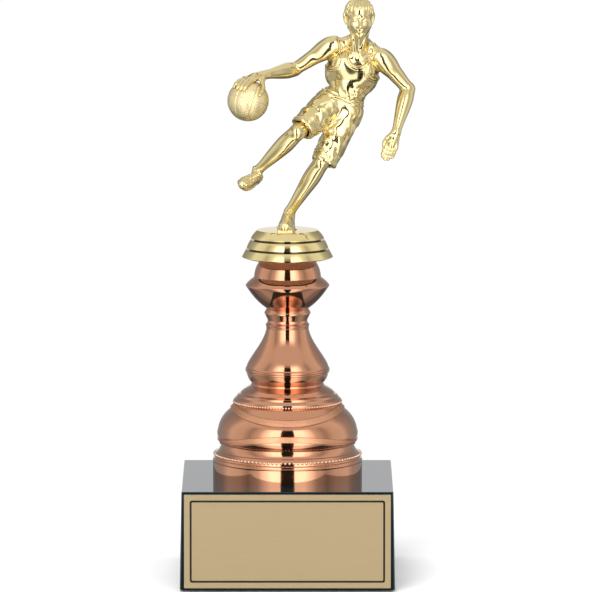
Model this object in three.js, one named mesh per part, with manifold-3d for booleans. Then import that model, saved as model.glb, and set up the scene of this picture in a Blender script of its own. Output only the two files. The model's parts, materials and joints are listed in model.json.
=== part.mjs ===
// Column trophy: a basketball player in gold metallised plastic on a three-tier disc, on a copper
// metallised riser, on a black weighted base with a blank name plate. One threaded rod runs through
// the riser and clamps the whole stack between a nut in the base and a nut moulded into the disc.
//
// Millimetres, +Z up. The origin is the centre of the felt's underside, on the rod's axis, and the
// name plate faces -Y.
import * as THREE from "three";
import { mergeVertices } from "three/addons/utils/BufferGeometryUtils.js";
import Module from "manifold-3d";

const wasm = await Module();
wasm.setup();

// ---------------------------------------------------------------- driving dimensions

const ROUND = 24; // facets around a turned piece
const GAP = 0.3; // clearance left between pieces that fit into each other

const BASE_FOOT = 101.6; // side of the base at its lower rim
const BASE_HEAD = 100; // side at its top: the mould's draft narrows it
const BASE_RIM = 0.8; // height of the lower rim, just above the felt's underside
const BASE_TOP = 47.6;
const BASE_WALL = 3;
const FELT_THICK = 1.2;
const COVER_THICK = 2.5;
const COVER_SCREW_AT = 40; // each screw's distance from the axis along X and along Y

const PLATE = { width: 97.5, height: 44.5, thick: 0.6, centre: 24.2 };
const TAPE = { width: 95, height: 42, thick: 0.5 };

const RISER_WAIST = 92.7; // seam between the dome and the dish
const DISH_RIM = 97.7;
const VASE_TOP = 122.9;
const COLLAR_TOP = 128.4;
const CUP_RIM = 139.3;
const RISER_TOP = 153.6;

const TIERS_BOTTOM = 152.6;
const TIERS_TOP = 166;
const TANG = { radius: 4.3, bottom: 162.6 }; // peg under the player's shoe, in the disc's socket

const ROD_RADIUS = 3.1; // quarter-inch thread
const ROD_HOLE = 3.6;
const ROD_BOTTOM = 24;
const ROD_TOP = 160;
const NUT = { across: 11.1, thick: 5.6, bore: 3.5 };
const CLAMP_FACE = 38.2; // underside of the boss that the washer bears on

const BALL = { centre: [-18.6, -16, 229.4], radius: 9.8 };

// ---------------------------------------------------------------- materials

const metallised = (color) => new THREE.MeshStandardMaterial({ color, roughness: 0.12, metalness: 1 });
const GOLD = metallised(0xe3c878);
const COPPER = metallised(0xc98058);
const BALL_GOLD = new THREE.MeshStandardMaterial({ color: 0xd9c27a, roughness: 0.4, metalness: 1 });
const BLACK = new THREE.MeshStandardMaterial({ color: 0x0e1a1e, roughness: 0.12, metalness: 0 });
const PLATE_GOLD = new THREE.MeshStandardMaterial({ color: 0xc2ab80, roughness: 0.35, metalness: 0.6 });
const TAPE_WHITE = new THREE.MeshStandardMaterial({ color: 0xe8e6df, roughness: 0.8, metalness: 0 });
const STEEL = new THREE.MeshStandardMaterial({ color: 0xb4b8bb, roughness: 0.3, metalness: 1 });
const BRASS = new THREE.MeshStandardMaterial({ color: 0xb8963e, roughness: 0.3, metalness: 1 });
const PLASTER = new THREE.MeshStandardMaterial({ color: 0xcfcbc0, roughness: 0.9, metalness: 0 });
const BOARD = new THREE.MeshStandardMaterial({ color: 0x5a4632, roughness: 0.8, metalness: 0 });
const FELT = new THREE.MeshStandardMaterial({ color: 0x15171a, roughness: 1, metalness: 0 });

// ---------------------------------------------------------------- geometry helpers

// A three.js geometry as a manifold solid with its faces pointing out.
function solid(geometry) {
  const bare = geometry.clone();
  bare.deleteAttribute("normal");
  bare.deleteAttribute("uv");
  const merged = mergeVertices(bare, 1e-4);
  const vertProperties = merged.attributes.position.array;
  const triVerts = new Uint32Array(merged.index.array);
  const made = new wasm.Manifold(new wasm.Mesh({ numProp: 3, vertProperties, triVerts }));
  if (made.volume() > 0) return made;
  const turned = triVerts.slice();
  for (let i = 0; i < turned.length; i += 3) {
    turned[i + 1] = triVerts[i + 2];
    turned[i + 2] = triVerts[i + 1];
  }
  return new wasm.Manifold(new wasm.Mesh({ numProp: 3, vertProperties, triVerts: turned }));
}

function geometryOf(body) {
  const mesh = body.getMesh();
  const made = new THREE.BufferGeometry();
  made.setAttribute("position", new THREE.BufferAttribute(mesh.vertProperties, 3));
  made.setIndex(new THREE.BufferAttribute(mesh.triVerts, 1));
  made.computeVertexNormals();
  return made;
}

const joined = (bodies) => bodies.reduce((all, one) => all.add(one));

// A solid of revolution about Z from a path of (radius, z).
function turned(path, segments = ROUND) {
  const points = path.getPoints(3);
  if (points[0].x > 0) points.push(points[0].clone());
  return solid(new THREE.LatheGeometry(points, segments).rotateX(Math.PI / 2));
}

const outline = (radius, z) => new THREE.Path().moveTo(radius, z);

// An upright round bar about the vertical line through (x, y).
function post(radius, bottom, top, x = 0, y = 0, segments = ROUND) {
  const bar = new THREE.CylinderGeometry(radius, radius, top - bottom, segments);
  return solid(bar.rotateX(Math.PI / 2).translate(x, y, (top + bottom) / 2));
}

// A square block about the axis, narrowing from its bottom side to its top side.
function block(bottomSide, topSide, bottom, top) {
  const box = new THREE.BoxGeometry(1, 1, top - bottom).translate(0, 0, (top + bottom) / 2);
  const at = box.attributes.position;
  for (let i = 0; i < at.count; i++) {
    const side = at.getZ(i) > (top + bottom) / 2 ? topSide : bottomSide;
    at.setXY(i, at.getX(i) * side, at.getY(i) * side);
  }
  return solid(box);
}

// A flat piece of a given outline, standing on z = bottom.
const slab = (shape, bottom, thick) =>
  solid(new THREE.ExtrudeGeometry(shape, { depth: thick, bevelEnabled: false, curveSegments: 6 })
    .translate(0, 0, bottom));

function roundedSquare(side, corner) {
  const h = side / 2;
  return new THREE.Shape()
    .moveTo(h - corner, -h)
    .absarc(h - corner, -h + corner, corner, -Math.PI / 2, 0)
    .absarc(h - corner, h - corner, corner, 0, Math.PI / 2)
    .absarc(-h + corner, h - corner, corner, Math.PI / 2, Math.PI)
    .absarc(-h + corner, -h + corner, corner, Math.PI, Math.PI * 1.5);
}

function hexagon(across) {
  const corner = across / Math.sqrt(3);
  const points = Array.from({ length: 6 }, (_, i) => {
    const turn = (i * Math.PI) / 3;
    return new THREE.Vector2(corner * Math.cos(turn), corner * Math.sin(turn));
  });
  return new THREE.Shape(points);
}

const hexNut = (bottom) =>
  slab(hexagon(NUT.across), bottom, NUT.thick)
    .subtract(post(NUT.bore, bottom - 1, bottom + NUT.thick + 1, 0, 0, 20));

const group = new THREE.Group();

function piece(name, body, material, parent = group) {
  const mesh = new THREE.Mesh(geometryOf(body), material);
  mesh.name = name;
  parent.add(mesh);
  return mesh;
}

// ---------------------------------------------------------------- base

const corners = [[1, 1], [-1, 1], [-1, -1], [1, -1]]
  .map((corner) => corner.map((side) => side * COVER_SCREW_AT));
const coverBottom = FELT_THICK;
const coverTop = coverBottom + COVER_THICK;
const cavityTop = BASE_TOP - BASE_WALL;

function baseShell() {
  const draft = (BASE_FOOT - BASE_HEAD) / (BASE_TOP - BASE_RIM);
  const cavityFoot = BASE_FOOT - 2 * BASE_WALL;
  const cavity = block(cavityFoot, cavityFoot - draft * (cavityTop - BASE_RIM), BASE_RIM - 1, cavityTop);
  const screwBosses = corners.map(([x, y]) => post(4, coverTop, cavityTop + 1, x, y, 16));
  const screwHoles = corners.map(([x, y]) => post(1.8, coverTop - 1, 20, x, y, 12));
  const rodBoss = post(9, CLAMP_FACE, cavityTop + 1);
  const body = block(BASE_FOOT, BASE_HEAD, BASE_RIM, BASE_TOP).subtract(cavity);
  return joined([body, rodBoss, ...screwBosses])
    .subtract(joined(screwHoles))
    .subtract(post(ROD_HOLE, 30, BASE_TOP + 1));
}

// A cast slab with its corners cut off beside the screw bosses, and a well for the nut.
function baseWeight() {
  const half = 45;
  const cut = 28;
  const side = [[half, -cut], [half, cut]];
  const points = [0, 1, 2, 3].flatMap((quarter) => side.map(([x, y]) =>
    new THREE.Vector2(x, y).rotateAround(new THREE.Vector2(), (quarter * Math.PI) / 2)));
  const shape = new THREE.Shape(points);
  return slab(shape, coverTop + GAP, 33).subtract(post(18, 0, 40));
}

const coverScrew = () =>
  turned(outline(0, coverBottom + 0.1)
    .lineTo(3, coverBottom + 0.1)
    .lineTo(1.5, coverBottom + 1.6)
    .lineTo(1.5, 15)
    .lineTo(0, 17), 12);

const screwSeat = (x, y) =>
  turned(outline(0, coverBottom - 0.1)
    .lineTo(3.6, coverBottom - 0.1)
    .lineTo(1.9, coverBottom + 1.8)
    .lineTo(1.9, coverTop + 1)
    .lineTo(0, coverTop + 1), 12).translate([x, y, 0]);

piece("base_shell", baseShell(), BLACK);
piece("base_weight", baseWeight(), PLASTER);
piece("bottom_cover",
  slab(roundedSquare(BASE_FOOT - 2 * BASE_WALL - 2 * GAP, 1), coverBottom, COVER_THICK)
    .subtract(joined(corners.map(([x, y]) => screwSeat(x, y)))),
  BOARD);
corners.forEach(([x, y], i) => {
  piece(`cover_screw_${i + 1}`, coverScrew(), STEEL).position.set(x, y, 0);
});
piece("bottom_felt", slab(roundedSquare(93, 4), 0, FELT_THICK), FELT);

// The name plate and its adhesive tape lie along the front face, which leans back with the draft.
const front = new THREE.Group();
const lean = (BASE_FOOT - BASE_HEAD) / 2 / (BASE_TOP - BASE_RIM);
front.position.set(0, -(BASE_FOOT / 2 - lean * (PLATE.centre - BASE_RIM)), PLATE.centre);
front.rotation.x = -Math.atan(lean);
group.add(front);
const sheet = ({ width, height, thick }, back) =>
  solid(new THREE.BoxGeometry(width, thick, height).translate(0, -back - thick / 2, 0));
piece("plate_tape", sheet(TAPE, 0.1), TAPE_WHITE, front);
piece("name_plate", sheet(PLATE, 0.7), PLATE_GOLD, front);

// ---------------------------------------------------------------- riser, from the bottom up

piece("riser_dome", turned(outline(35.7, BASE_TOP)
  .lineTo(35.7, 55.4)
  .quadraticCurveTo(35.6, 56.8, 34.8, 57.3)
  .lineTo(34.8, 59)
  .lineTo(33, 60.6)
  .quadraticCurveTo(30.8, 63.6, 32.8, 65.3)
  .quadraticCurveTo(33.8, 68.2, 32.6, 70.8)
  .quadraticCurveTo(31.3, 76.6, 27.4, 80.4)
  .lineTo(25.1, 82.8)
  .quadraticCurveTo(26.4, 84.3, 25.3, 85.4)
  .lineTo(24.2, 86.4)
  .lineTo(23.8, 87.4)
  .lineTo(22.3, 88.2)
  .quadraticCurveTo(21.6, 89.6, 17.5, 91.8)
  .lineTo(17.1, RISER_WAIST)
  .lineTo(10, RISER_WAIST)
  .lineTo(10, RISER_WAIST + 1.2)
  .lineTo(ROD_HOLE, RISER_WAIST + 1.2)
  .lineTo(ROD_HOLE, RISER_WAIST - 2)
  .lineTo(15.3, RISER_WAIST - 2)
  .lineTo(19.6, 87.2)
  .lineTo(23.4, 82)
  .quadraticCurveTo(28.6, 77.6, 30.4, 70.5)
  .lineTo(29.8, 63.2)
  .lineTo(33.4, 56)
  .lineTo(33.4, BASE_TOP)), COPPER);

piece("riser_dish", turned(outline(10 + GAP, RISER_WAIST)
  .lineTo(17.1, RISER_WAIST)
  .lineTo(18, 93.7)
  .quadraticCurveTo(19.2, 95.4, 19.6, DISH_RIM)
  .lineTo(17.6, DISH_RIM)
  .lineTo(17.4, 95.4)
  .lineTo(16.6, RISER_WAIST + 1.8)
  .lineTo(10 + GAP, RISER_WAIST + 1.8)), COPPER);

piece("riser_vase", turned(outline(19.6, DISH_RIM)
  .quadraticCurveTo(20.5, 99.2, 19.6, 100.5)
  .bezierCurveTo(18.6, 105, 10.6, 112.5, 10, 119.6)
  .quadraticCurveTo(10.9, 120.5, 9.6, 121.8)
  .lineTo(9.5, VASE_TOP)
  .lineTo(6, VASE_TOP)
  .lineTo(6, VASE_TOP + 1.4)
  .lineTo(ROD_HOLE, VASE_TOP + 1.4)
  .lineTo(ROD_HOLE, VASE_TOP - 2)
  .lineTo(7.8, VASE_TOP - 2)
  .bezierCurveTo(8.4, 112.5, 15.2, 106, 16.2, 101)
  .lineTo(16, DISH_RIM - 1.8)
  .lineTo(17, DISH_RIM - 1.8)
  .lineTo(17, DISH_RIM)), COPPER);

piece("riser_collar", turned(outline(6 + GAP, VASE_TOP)
  .lineTo(9.5, VASE_TOP)
  .quadraticCurveTo(10.1, 124.2, 10.9, 125.8)
  .quadraticCurveTo(11.2, 126.3, 10.9, 126.8)
  .lineTo(10, COLLAR_TOP)
  .lineTo(6 + GAP, COLLAR_TOP)), COPPER);

piece("riser_cup", turned(outline(ROD_HOLE, COLLAR_TOP - 1.4)
  .lineTo(6, COLLAR_TOP - 1.4)
  .lineTo(6, COLLAR_TOP)
  .lineTo(10, COLLAR_TOP)
  .quadraticCurveTo(15.5, 132, 19.8, 139)
  .lineTo(19.9, CUP_RIM)
  .lineTo(17.8, CUP_RIM)
  .lineTo(17.8, CUP_RIM - 1.7)
  .lineTo(16.6, CUP_RIM - 2.1)
  .quadraticCurveTo(13, 133.4, 8.5, 130.4)
  .lineTo(ROD_HOLE, 130.4)), COPPER);

piece("riser_cap", turned(outline(19.9, CUP_RIM)
  .lineTo(20, 139.8)
  .quadraticCurveTo(18.6, 141.8, 16, 143.6)
  .quadraticCurveTo(15.5, 150.4, 10.5, RISER_TOP)
  .lineTo(ROD_HOLE, RISER_TOP)
  .lineTo(ROD_HOLE, RISER_TOP - 2.2)
  .lineTo(9.6, RISER_TOP - 2.2)
  .quadraticCurveTo(13.4, 148.8, 14, 144.4)
  .lineTo(16.2, 141.6)
  .lineTo(16.2, CUP_RIM - 1.4)
  .lineTo(17.5, CUP_RIM - 1.4)
  .lineTo(17.5, CUP_RIM)), COPPER);

// ---------------------------------------------------------------- rod and its fasteners

const ring = (inner, outer, bottom, top) =>
  post(outer, bottom, top).subtract(post(inner, bottom - 1, top + 1));
const lockSplit = solid(new THREE.BoxGeometry(4, 1, 4).translate(4.6, 0, CLAMP_FACE - 2.3));

piece("threaded_rod", turned(outline(0, ROD_BOTTOM)
  .lineTo(ROD_RADIUS - 0.6, ROD_BOTTOM)
  .lineTo(ROD_RADIUS, ROD_BOTTOM + 0.6)
  .lineTo(ROD_RADIUS, ROD_TOP - 0.6)
  .lineTo(ROD_RADIUS - 0.6, ROD_TOP)
  .lineTo(0, ROD_TOP), 16), STEEL);
piece("base_washer", ring(ROD_HOLE, 11, CLAMP_FACE - 1.5, CLAMP_FACE), STEEL);
piece("lock_washer", ring(ROD_HOLE, 5.6, CLAMP_FACE - 3.1, CLAMP_FACE - 1.5).subtract(lockSplit), STEEL);
piece("base_nut", hexNut(CLAMP_FACE - 3.1 - NUT.thick), STEEL);

// ---------------------------------------------------------------- three-tier disc and its nut

// A downward-opening shell of three bevelled tiers, each overhanging the next by a small step, with
// a hub that holds the nut from below and the player's tang from above.
function tieredDisc() {
  const path = outline(20.4, TIERS_BOTTOM)
    .lineTo(21.7, TIERS_BOTTOM + 0.6)
    .lineTo(19.8, 156.8)
    .lineTo(18.7, 156.8)
    .lineTo(18.7, 157.3)
    .lineTo(19.5, 157.6)
    .lineTo(17.7, 161.3)
    .lineTo(16.4, 161.3)
    .lineTo(16.4, 161.8)
    .lineTo(17.5, 162.2)
    .lineTo(14.8, 165.7)
    .lineTo(14.4, TIERS_TOP)
    .lineTo(TANG.radius + GAP, TIERS_TOP)
    .lineTo(TANG.radius + GAP, 162.2)
    .lineTo(2, 162.2)
    .lineTo(2, RISER_TOP + GAP)
    .lineTo(9, RISER_TOP + GAP)
    .lineTo(9, 163)
    .lineTo(13.4, 163)
    .lineTo(17.2, 157)
    .lineTo(19.4, TIERS_BOTTOM);
  const pocket = slab(hexagon(NUT.across + 2 * GAP), RISER_TOP, 160.8 - RISER_TOP);
  return turned(path).subtract(pocket);
}

piece("figure_base", tieredDisc(), GOLD);
piece("figure_nut", hexNut(154.6), BRASS);

// ---------------------------------------------------------------- player and ball

// Each chain is a limb: joints [x, y, z, radius] with a tapered bar between each two.
const CHAINS = {
  right_arm: [[20.2, -3, 252.8, 4.8], [11.5, -2, 248.2, 3.9], [3.3, -1.2, 242.9, 3.3],
    [-2.5, -5.5, 242.2, 3.3], [-10.6, -12, 241, 2.3]],
  left_arm: [[45, -4, 247.4, 4.8], [51, -3, 240.5, 3.9], [57.1, -1, 233.4, 3.6], [55.2, -5, 226.5, 3.6],
    [51.1, -12, 214.1, 2.3]],
  shoulders: [[20.2, -3, 252.6, 4.6], [26.4, -4, 253.6, 4.4], [39, -5, 251.6, 4.4], [45, -4, 247.6, 4.6]],
  neck: [[32.2, -6, 252, 4.6], [33.4, -9.5, 261, 4.1]],
  right_shin: [[7, -14, 215, 5], [-2.6, -8, 205.4, 4.4], [-14.3, -2, 194.4, 2.7]],
  left_shin: [[16.6, -8.5, 199.5, 4.8], [9.6, -3.5, 187.6, 4.3], [1, 2, 175, 2.8]],
  right_shoe: [[-14.4, -2, 194.2, 2.9], [-15, 1, 191.2, 3], [-21.2, -7.2, 189.2, 3.1]],
  left_shoe: [[0.4, 3, 170.4, 3.9], [-0.4, -4, 169.6, 4], [-0.9, -9.6, 168.6, 3.6]],
  left_palm: [[50.8, -12.4, 212.4, 2.5], [49.4, -13, 208.4, 3]],
  right_palm: [[-10.6, -12, 240.6, 2.2], [-17.6, -15.4, 240.4, 2.7]],
};

// A finger is a chain of three joints, 6-sided.
const LEFT_FINGERS = [-1.5, -0.5, 0.5, 1.5].map((place) => [
  [49 + 1.25 * place, -13, 207.6, 1.1],
  [47.8 + 1.3 * place, -14, 204.4, 1],
  [46.9 + 1.2 * place, -12.8, 202.3, 0.9],
]);
LEFT_FINGERS.push([[47.6, -14, 210.4, 1.2], [45.6, -15.4, 206.8, 1]]);
const RIGHT_FINGERS = [-1.5, -0.5, 0.5, 1.5].map((place) => {
  // Each finger follows the ball's surface away from the palm, fanned out by its place.
  const [x, y, z] = BALL.centre;
  const reach = BALL.radius + 0.9;
  return [0.15, 0.45, 0.78].map((down, i) => {
    const fan = 0.3 * place - 0.5;
    return [x - reach * Math.sin(down) * Math.cos(fan), y + reach * Math.sin(down) * Math.sin(fan),
      z + reach * Math.cos(down), 1.15 - 0.1 * i];
  });
});
RIGHT_FINGERS.push([[-13.4, -15.4, 239.4, 1.3], [-10.6, -18.4, 236.6, 1.1], [-10.2, -19.6, 234.4, 1]]);

// Each rounded mass is [centre, radii, turn about Y in degrees].
const MASSES = [
  [[31.6, -4.4, 245.8], [13.4, 8, 9.6], 12], // chest
  [[29, -2.4, 236], [11.4, 7.6, 11], 18], // abdomen
  [[26.8, 0, 225.6], [11.6, 8.6, 8.6], 26], // hips
  [[33.7, -11, 270], [7.2, 7.9, 7.9], 0], // skull
  [[34.2, -13.6, 263.6], [5, 5, 4.8], 0], // jaw
  [[34, -18.4, 266.4], [1.1, 1.5, 2], 0], // nose
  [[26.6, -10.8, 267.6], [0.9, 1.8, 2.3], 0], // ears
  [[41, -10.8, 267.6], [0.9, 1.8, 2.3], 0],
];

// Each leg of the shorts is a flared tube from the hip to its hem: [hip, radius, hem, radius].
const SHORTS = [
  [[20.5, -1.3, 225.8], 8.2, [6.3, -11.8, 214.8], 6.2],
  [[29, -0.6, 222.6], 8, [16.9, -7.6, 198.2], 6.3],
];

// A bar from a to b that tapers from radius ra to rb, with flat ends or round ones.
function bar(a, ra, b, rb, sides, roundEnds) {
  const from = new THREE.Vector3(...a);
  const along = new THREE.Vector3(...b).sub(from);
  const length = along.length();
  const profile = roundEnds
    ? [[0, -ra], [0.75 * ra, -0.66 * ra], [ra, 0],
      [rb, length], [0.75 * rb, length + 0.66 * rb], [0, length + rb]]
    : [[0, 0], [ra, 0], [rb, length], [0, length]];
  const lathe = new THREE.LatheGeometry(profile.map(([r, y]) => new THREE.Vector2(r, y)), sides);
  const turn = new THREE.Quaternion().setFromUnitVectors(new THREE.Vector3(0, 1, 0), along.normalize());
  return solid(lathe.applyQuaternion(turn).translate(...a));
}

const limb = (joints, sides) =>
  joined(joints.slice(1).map(([x, y, z, r], i) => {
    const [px, py, pz, pr] = joints[i];
    return bar([px, py, pz], pr, [x, y, z], r, sides, true);
  }));

const sphere = ([x, y, z], r, sides) =>
  solid(new THREE.SphereGeometry(r, sides, sides / 2).translate(x, y, z));

function mass([[x, y, z], [rx, ry, rz], turn]) {
  const sides = rx > 4 ? 12 : 6;
  const lump = new THREE.SphereGeometry(1, sides, sides / 2 + 2).rotateX(Math.PI / 2).scale(rx, ry, rz);
  return solid(lump.rotateY(THREE.MathUtils.degToRad(turn)).translate(x, y, z));
}

function player() {
  const body = joined([
    ...Object.values(CHAINS).map((chain) => limb(chain, 8)),
    ...[...LEFT_FINGERS, ...RIGHT_FINGERS].map((chain) => limb(chain, 5)),
    ...MASSES.map(mass),
    ...SHORTS.map(([hip, hipRadius, hem, hemRadius]) => bar(hip, hipRadius, hem, hemRadius, 12, false)),
  ]);
  const belowDisc = solid(new THREE.BoxGeometry(60, 60, 20).translate(0, 0, TIERS_TOP - 10));
  const roomForBall = sphere(BALL.centre, BALL.radius + GAP, 16);
  const tang = post(TANG.radius, TANG.bottom, TIERS_TOP + 2, 0, 0, 20);
  return body.subtract(belowDisc).subtract(roomForBall).add(tang);
}

piece("player", player(), GOLD);
piece("basketball", sphere(BALL.centre, BALL.radius, 16), BALL_GOLD);

export default group;
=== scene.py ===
import json
import math

import bmesh
import bpy
import numpy as np
import openvdb
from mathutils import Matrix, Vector

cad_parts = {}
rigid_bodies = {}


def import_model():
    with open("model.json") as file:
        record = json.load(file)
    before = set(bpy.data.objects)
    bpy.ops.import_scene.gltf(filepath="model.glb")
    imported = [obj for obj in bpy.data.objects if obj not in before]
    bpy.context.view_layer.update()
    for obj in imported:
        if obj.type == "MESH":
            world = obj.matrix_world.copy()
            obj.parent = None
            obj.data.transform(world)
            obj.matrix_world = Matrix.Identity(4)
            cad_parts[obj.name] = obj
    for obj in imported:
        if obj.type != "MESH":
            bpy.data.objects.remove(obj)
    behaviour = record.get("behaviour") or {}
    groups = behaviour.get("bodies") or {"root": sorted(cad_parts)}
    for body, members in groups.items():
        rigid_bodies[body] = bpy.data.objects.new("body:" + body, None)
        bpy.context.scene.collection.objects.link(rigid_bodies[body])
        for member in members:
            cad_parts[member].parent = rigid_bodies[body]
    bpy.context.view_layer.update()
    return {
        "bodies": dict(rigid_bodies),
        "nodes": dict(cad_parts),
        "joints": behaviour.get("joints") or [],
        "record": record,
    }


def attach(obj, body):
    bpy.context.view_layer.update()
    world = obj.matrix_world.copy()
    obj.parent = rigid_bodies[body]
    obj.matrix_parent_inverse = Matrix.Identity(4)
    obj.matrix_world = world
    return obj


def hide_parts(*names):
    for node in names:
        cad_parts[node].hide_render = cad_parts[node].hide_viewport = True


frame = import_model()

MM = 0.001
STAND, FIGURE = "stand", "figure"
COARSE = 1


# ---------------------------------------------------------------- finishes

# The disc's gold by height in mm, as a share of its full colour: painted shade, dark in the grooves between
# its tiers.
DISC_GOLD = (0.80, 0.65, 0.315)
TIER_PAINTED_SHADE = ((152.7, 0.15), (153.1, 1), (156.55, 1), (156.75, 0.12), (157.4, 0.12), (157.6, 1), (161.1, 1),
               (161.3, 0.12), (161.9, 0.12), (162.15, 1))
PAINTED_SHADE_LOW, PAINTED_SHADE_HIGH = 150, 170


def finish(slot, colour, roughness, metallic=0.0, sockets=()):
    """A material with its shader set up; its nodes are added by the caller."""
    made = bpy.data.materials.new(slot)
    made.use_nodes = True
    shader = made.node_tree.nodes["Principled BSDF"]
    values = {"Base Color": (*colour, 1), "Roughness": roughness, "Metallic": metallic, **dict(sockets)}
    for name, value in values.items():
        shader.inputs[name].default_value = value
    return made


def node(material, kind, links=(), **settings):
    """Adds a node, with its inputs fed from (input, node, output) links."""
    tree = material.node_tree
    made = tree.nodes.new(kind)
    for key, value in settings.items():
        if hasattr(made, key):
            setattr(made, key, value)
        else:
            made.inputs[key.replace("_", " ")].default_value = value
    for name, source, output in links:
        tree.links.new(source.outputs[output], made.inputs[name])
    return made


def place(material, stretch=(1, 1, 1)):
    """Positions on the object in metres, stretched for brushed or woven looks."""
    at = node(material, "ShaderNodeTexCoord")
    return node(material, "ShaderNodeMapping", [("Vector", at, "Object")], Scale=stretch)


def grain(material, size, detail, stretch=(1, 1, 1)):
    """Noise with features about `size` mm across."""
    at = place(material, stretch)
    return node(material, "ShaderNodeTexNoise", [("Vector", at, "Vector")],
                Scale=1 / (size * MM), Detail=detail)


def drive(material, socket, source):
    """Joins a node's first output to a socket of the material's shader."""
    tree = material.node_tree
    tree.links.new(source.outputs[0], tree.nodes["Principled BSDF"].inputs[socket])


def set_stops(ramp, rows):
    """Gives a colour ramp its rows of position and colour."""
    stops = ramp.color_ramp.elements
    for i, (position, colour) in enumerate(rows):
        stop = stops[i] if i < 2 else stops.new(position)
        stop.position = position
        stop.color = (*colour, 1)


def feed(material, socket, source, low, high):
    """Drives a shader socket from a grey texture: a number, or a colour when low and high are colours."""
    darkest, lightest = 0.3, 0.7
    if isinstance(low, tuple):
        ramp = node(material, "ShaderNodeValToRGB", [(0, source, 0)])
        set_stops(ramp, ((darkest, low), (lightest, high)))
    else:
        ramp = node(material, "ShaderNodeMapRange", [(0, source, 0)],
                    From_Min=darkest, From_Max=lightest, To_Min=low, To_Max=high)
    drive(material, socket, ramp)


def relief(material, source, height):
    """Raises the surface by up to `height` mm where the texture is light."""
    bump = node(material, "ShaderNodeBump", [("Height", source, 0)], Strength=1.0, Distance=height * MM)
    drive(material, "Normal", bump)


# Finishes driven by noise. Colour is a grain's size, detail and stretch, then the dark and the light colour;
# roughness is one number, or the same with two numbers; bumps are a grain and how far it stands out in mm.
LOOKS = {
    "gold_mirror": dict(colour=((9, 3), (0.70, 0.573, 0.27), (0.74, 0.607, 0.305)),
                        roughness=((2.2, 4), 0.10, 0.17), metallic=1, sockets={"Coat Weight": 0.4}),
    "gold_pebbled": dict(colour=((3, 3), (0.80, 0.66, 0.34), (0.90, 0.77, 0.46)),
                         roughness=((1.5, 3), 0.34, 0.50), metallic=1),
    "copper_mirror": dict(colour=((14, 3), (0.54, 0.235, 0.117), (0.58, 0.26, 0.133)),
                          roughness=((3, 4), 0.04, 0.10), metallic=1, sockets={"Coat Weight": 1.0}),
    # The beads' copper is painted paler than the dome's: a painted highlight on each bead.
    "copper_bead_painted_highlight": dict(colour=((1.5, 3), (0.80, 0.53, 0.37), (0.90, 0.66, 0.50)),
                        roughness=0.22, metallic=1),
    "copper_frosted": dict(colour=((0.5, 3), (0.60, 0.285, 0.15), (0.76, 0.40, 0.24)),
                           roughness=((0.8, 3), 0.30, 0.44), bumps=((0.35, 3), 0.05), metallic=1),
    "disc_inside": dict(colour=((4, 3), (0.90, 0.86, 0.77), (0.95, 0.92, 0.85)), roughness=0.55),
    "base_black": dict(colour=((30, 4), (0.005, 0.012, 0.016), (0.007, 0.016, 0.021)),
                       roughness=((8, 4), 0.02, 0.04)),
    "plate_gold": dict(colour=((0.5, 4, (0.02, 1, 1)), (0.322, 0.243, 0.129), (0.334, 0.253, 0.136)),
                       roughness=((0.4, 3, (0.03, 1, 1)), 0.38, 0.48), metallic=0.35),
    "plate_ink": dict(colour=((0.4, 3), (0.006, 0.006, 0.006), (0.011, 0.010, 0.009)), roughness=0.6,
                      sockets={"Specular IOR Level": 0.15}),
    "tape": dict(colour=((0.8, 4), (0.72, 0.71, 0.66), (0.82, 0.81, 0.77)), roughness=0.8,
                 bumps=((0.8, 4), 0.05)),
    "plaster": dict(colour=((6, 6), (0.50, 0.47, 0.41), (0.70, 0.67, 0.61)), roughness=0.9,
                    bumps=((1.2, 6), 0.3)),
    "fibre_board": dict(colour=((0.6, 6, (1, 0.3, 1)), (0.07, 0.038, 0.02), (0.15, 0.085, 0.05)),
                        roughness=0.75, bumps=((0.5, 5), 0.08)),
    "felt": dict(colour=((0.5, 6), (0.005, 0.006, 0.008), (0.016, 0.018, 0.022)), roughness=1.0,
                 bumps=((0.35, 6), 0.25), sockets={"Sheen Weight": 0.3}),
    "zinc_steel": dict(colour=((2.5, 5), (0.54, 0.56, 0.60), (0.68, 0.69, 0.69)),
                       roughness=((0.7, 4), 0.22, 0.40), metallic=1),
    "nut_brass": dict(colour=((2, 5), (0.53, 0.36, 0.10), (0.66, 0.48, 0.16)),
                      roughness=((0.6, 4), 0.22, 0.38), metallic=1),
}


def look(slot, colour, roughness, bumps=None, metallic=0.0, sockets=()):
    """A finish from its row of LOOKS."""
    tones, dark, light = colour
    varied = isinstance(roughness, tuple)
    made = finish(slot, dark, roughness[1] if varied else roughness, metallic, sockets)
    feed(made, "Base Color", grain(made, *tones), dark, light)
    if varied:
        feed(made, "Roughness", grain(made, *roughness[0]), *roughness[1:])
    if bumps:
        relief(made, grain(made, *bumps[0]), bumps[1])
    return made


def gold_with_painted_groove_shade():
    """The disc's gold, with painted shade in the grooves between its tiers, set by height."""
    made = finish("gold_painted_groove_shade", DISC_GOLD, 0.05, 1)
    feed(made, "Roughness", grain(made, 2.2, 4), 0.05, 0.13)
    at = node(made, "ShaderNodeSeparateXYZ", [("Vector", place(made), "Vector")])
    height = node(made, "ShaderNodeMapRange", [("Value", at, "Z")],
                  From_Min=PAINTED_SHADE_LOW * MM, From_Max=PAINTED_SHADE_HIGH * MM)
    # This ramp paints shade into the gold's colour: dark in the grooves between the tiers.
    lines = node(made, "ShaderNodeValToRGB", [(0, height, 0)])
    span = PAINTED_SHADE_HIGH - PAINTED_SHADE_LOW
    set_stops(lines, [((z - PAINTED_SHADE_LOW) / span, [channel * shade for channel in DISC_GOLD])
                      for z, shade in TIER_PAINTED_SHADE])
    drive(made, "Base Color", lines)
    return made


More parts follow.
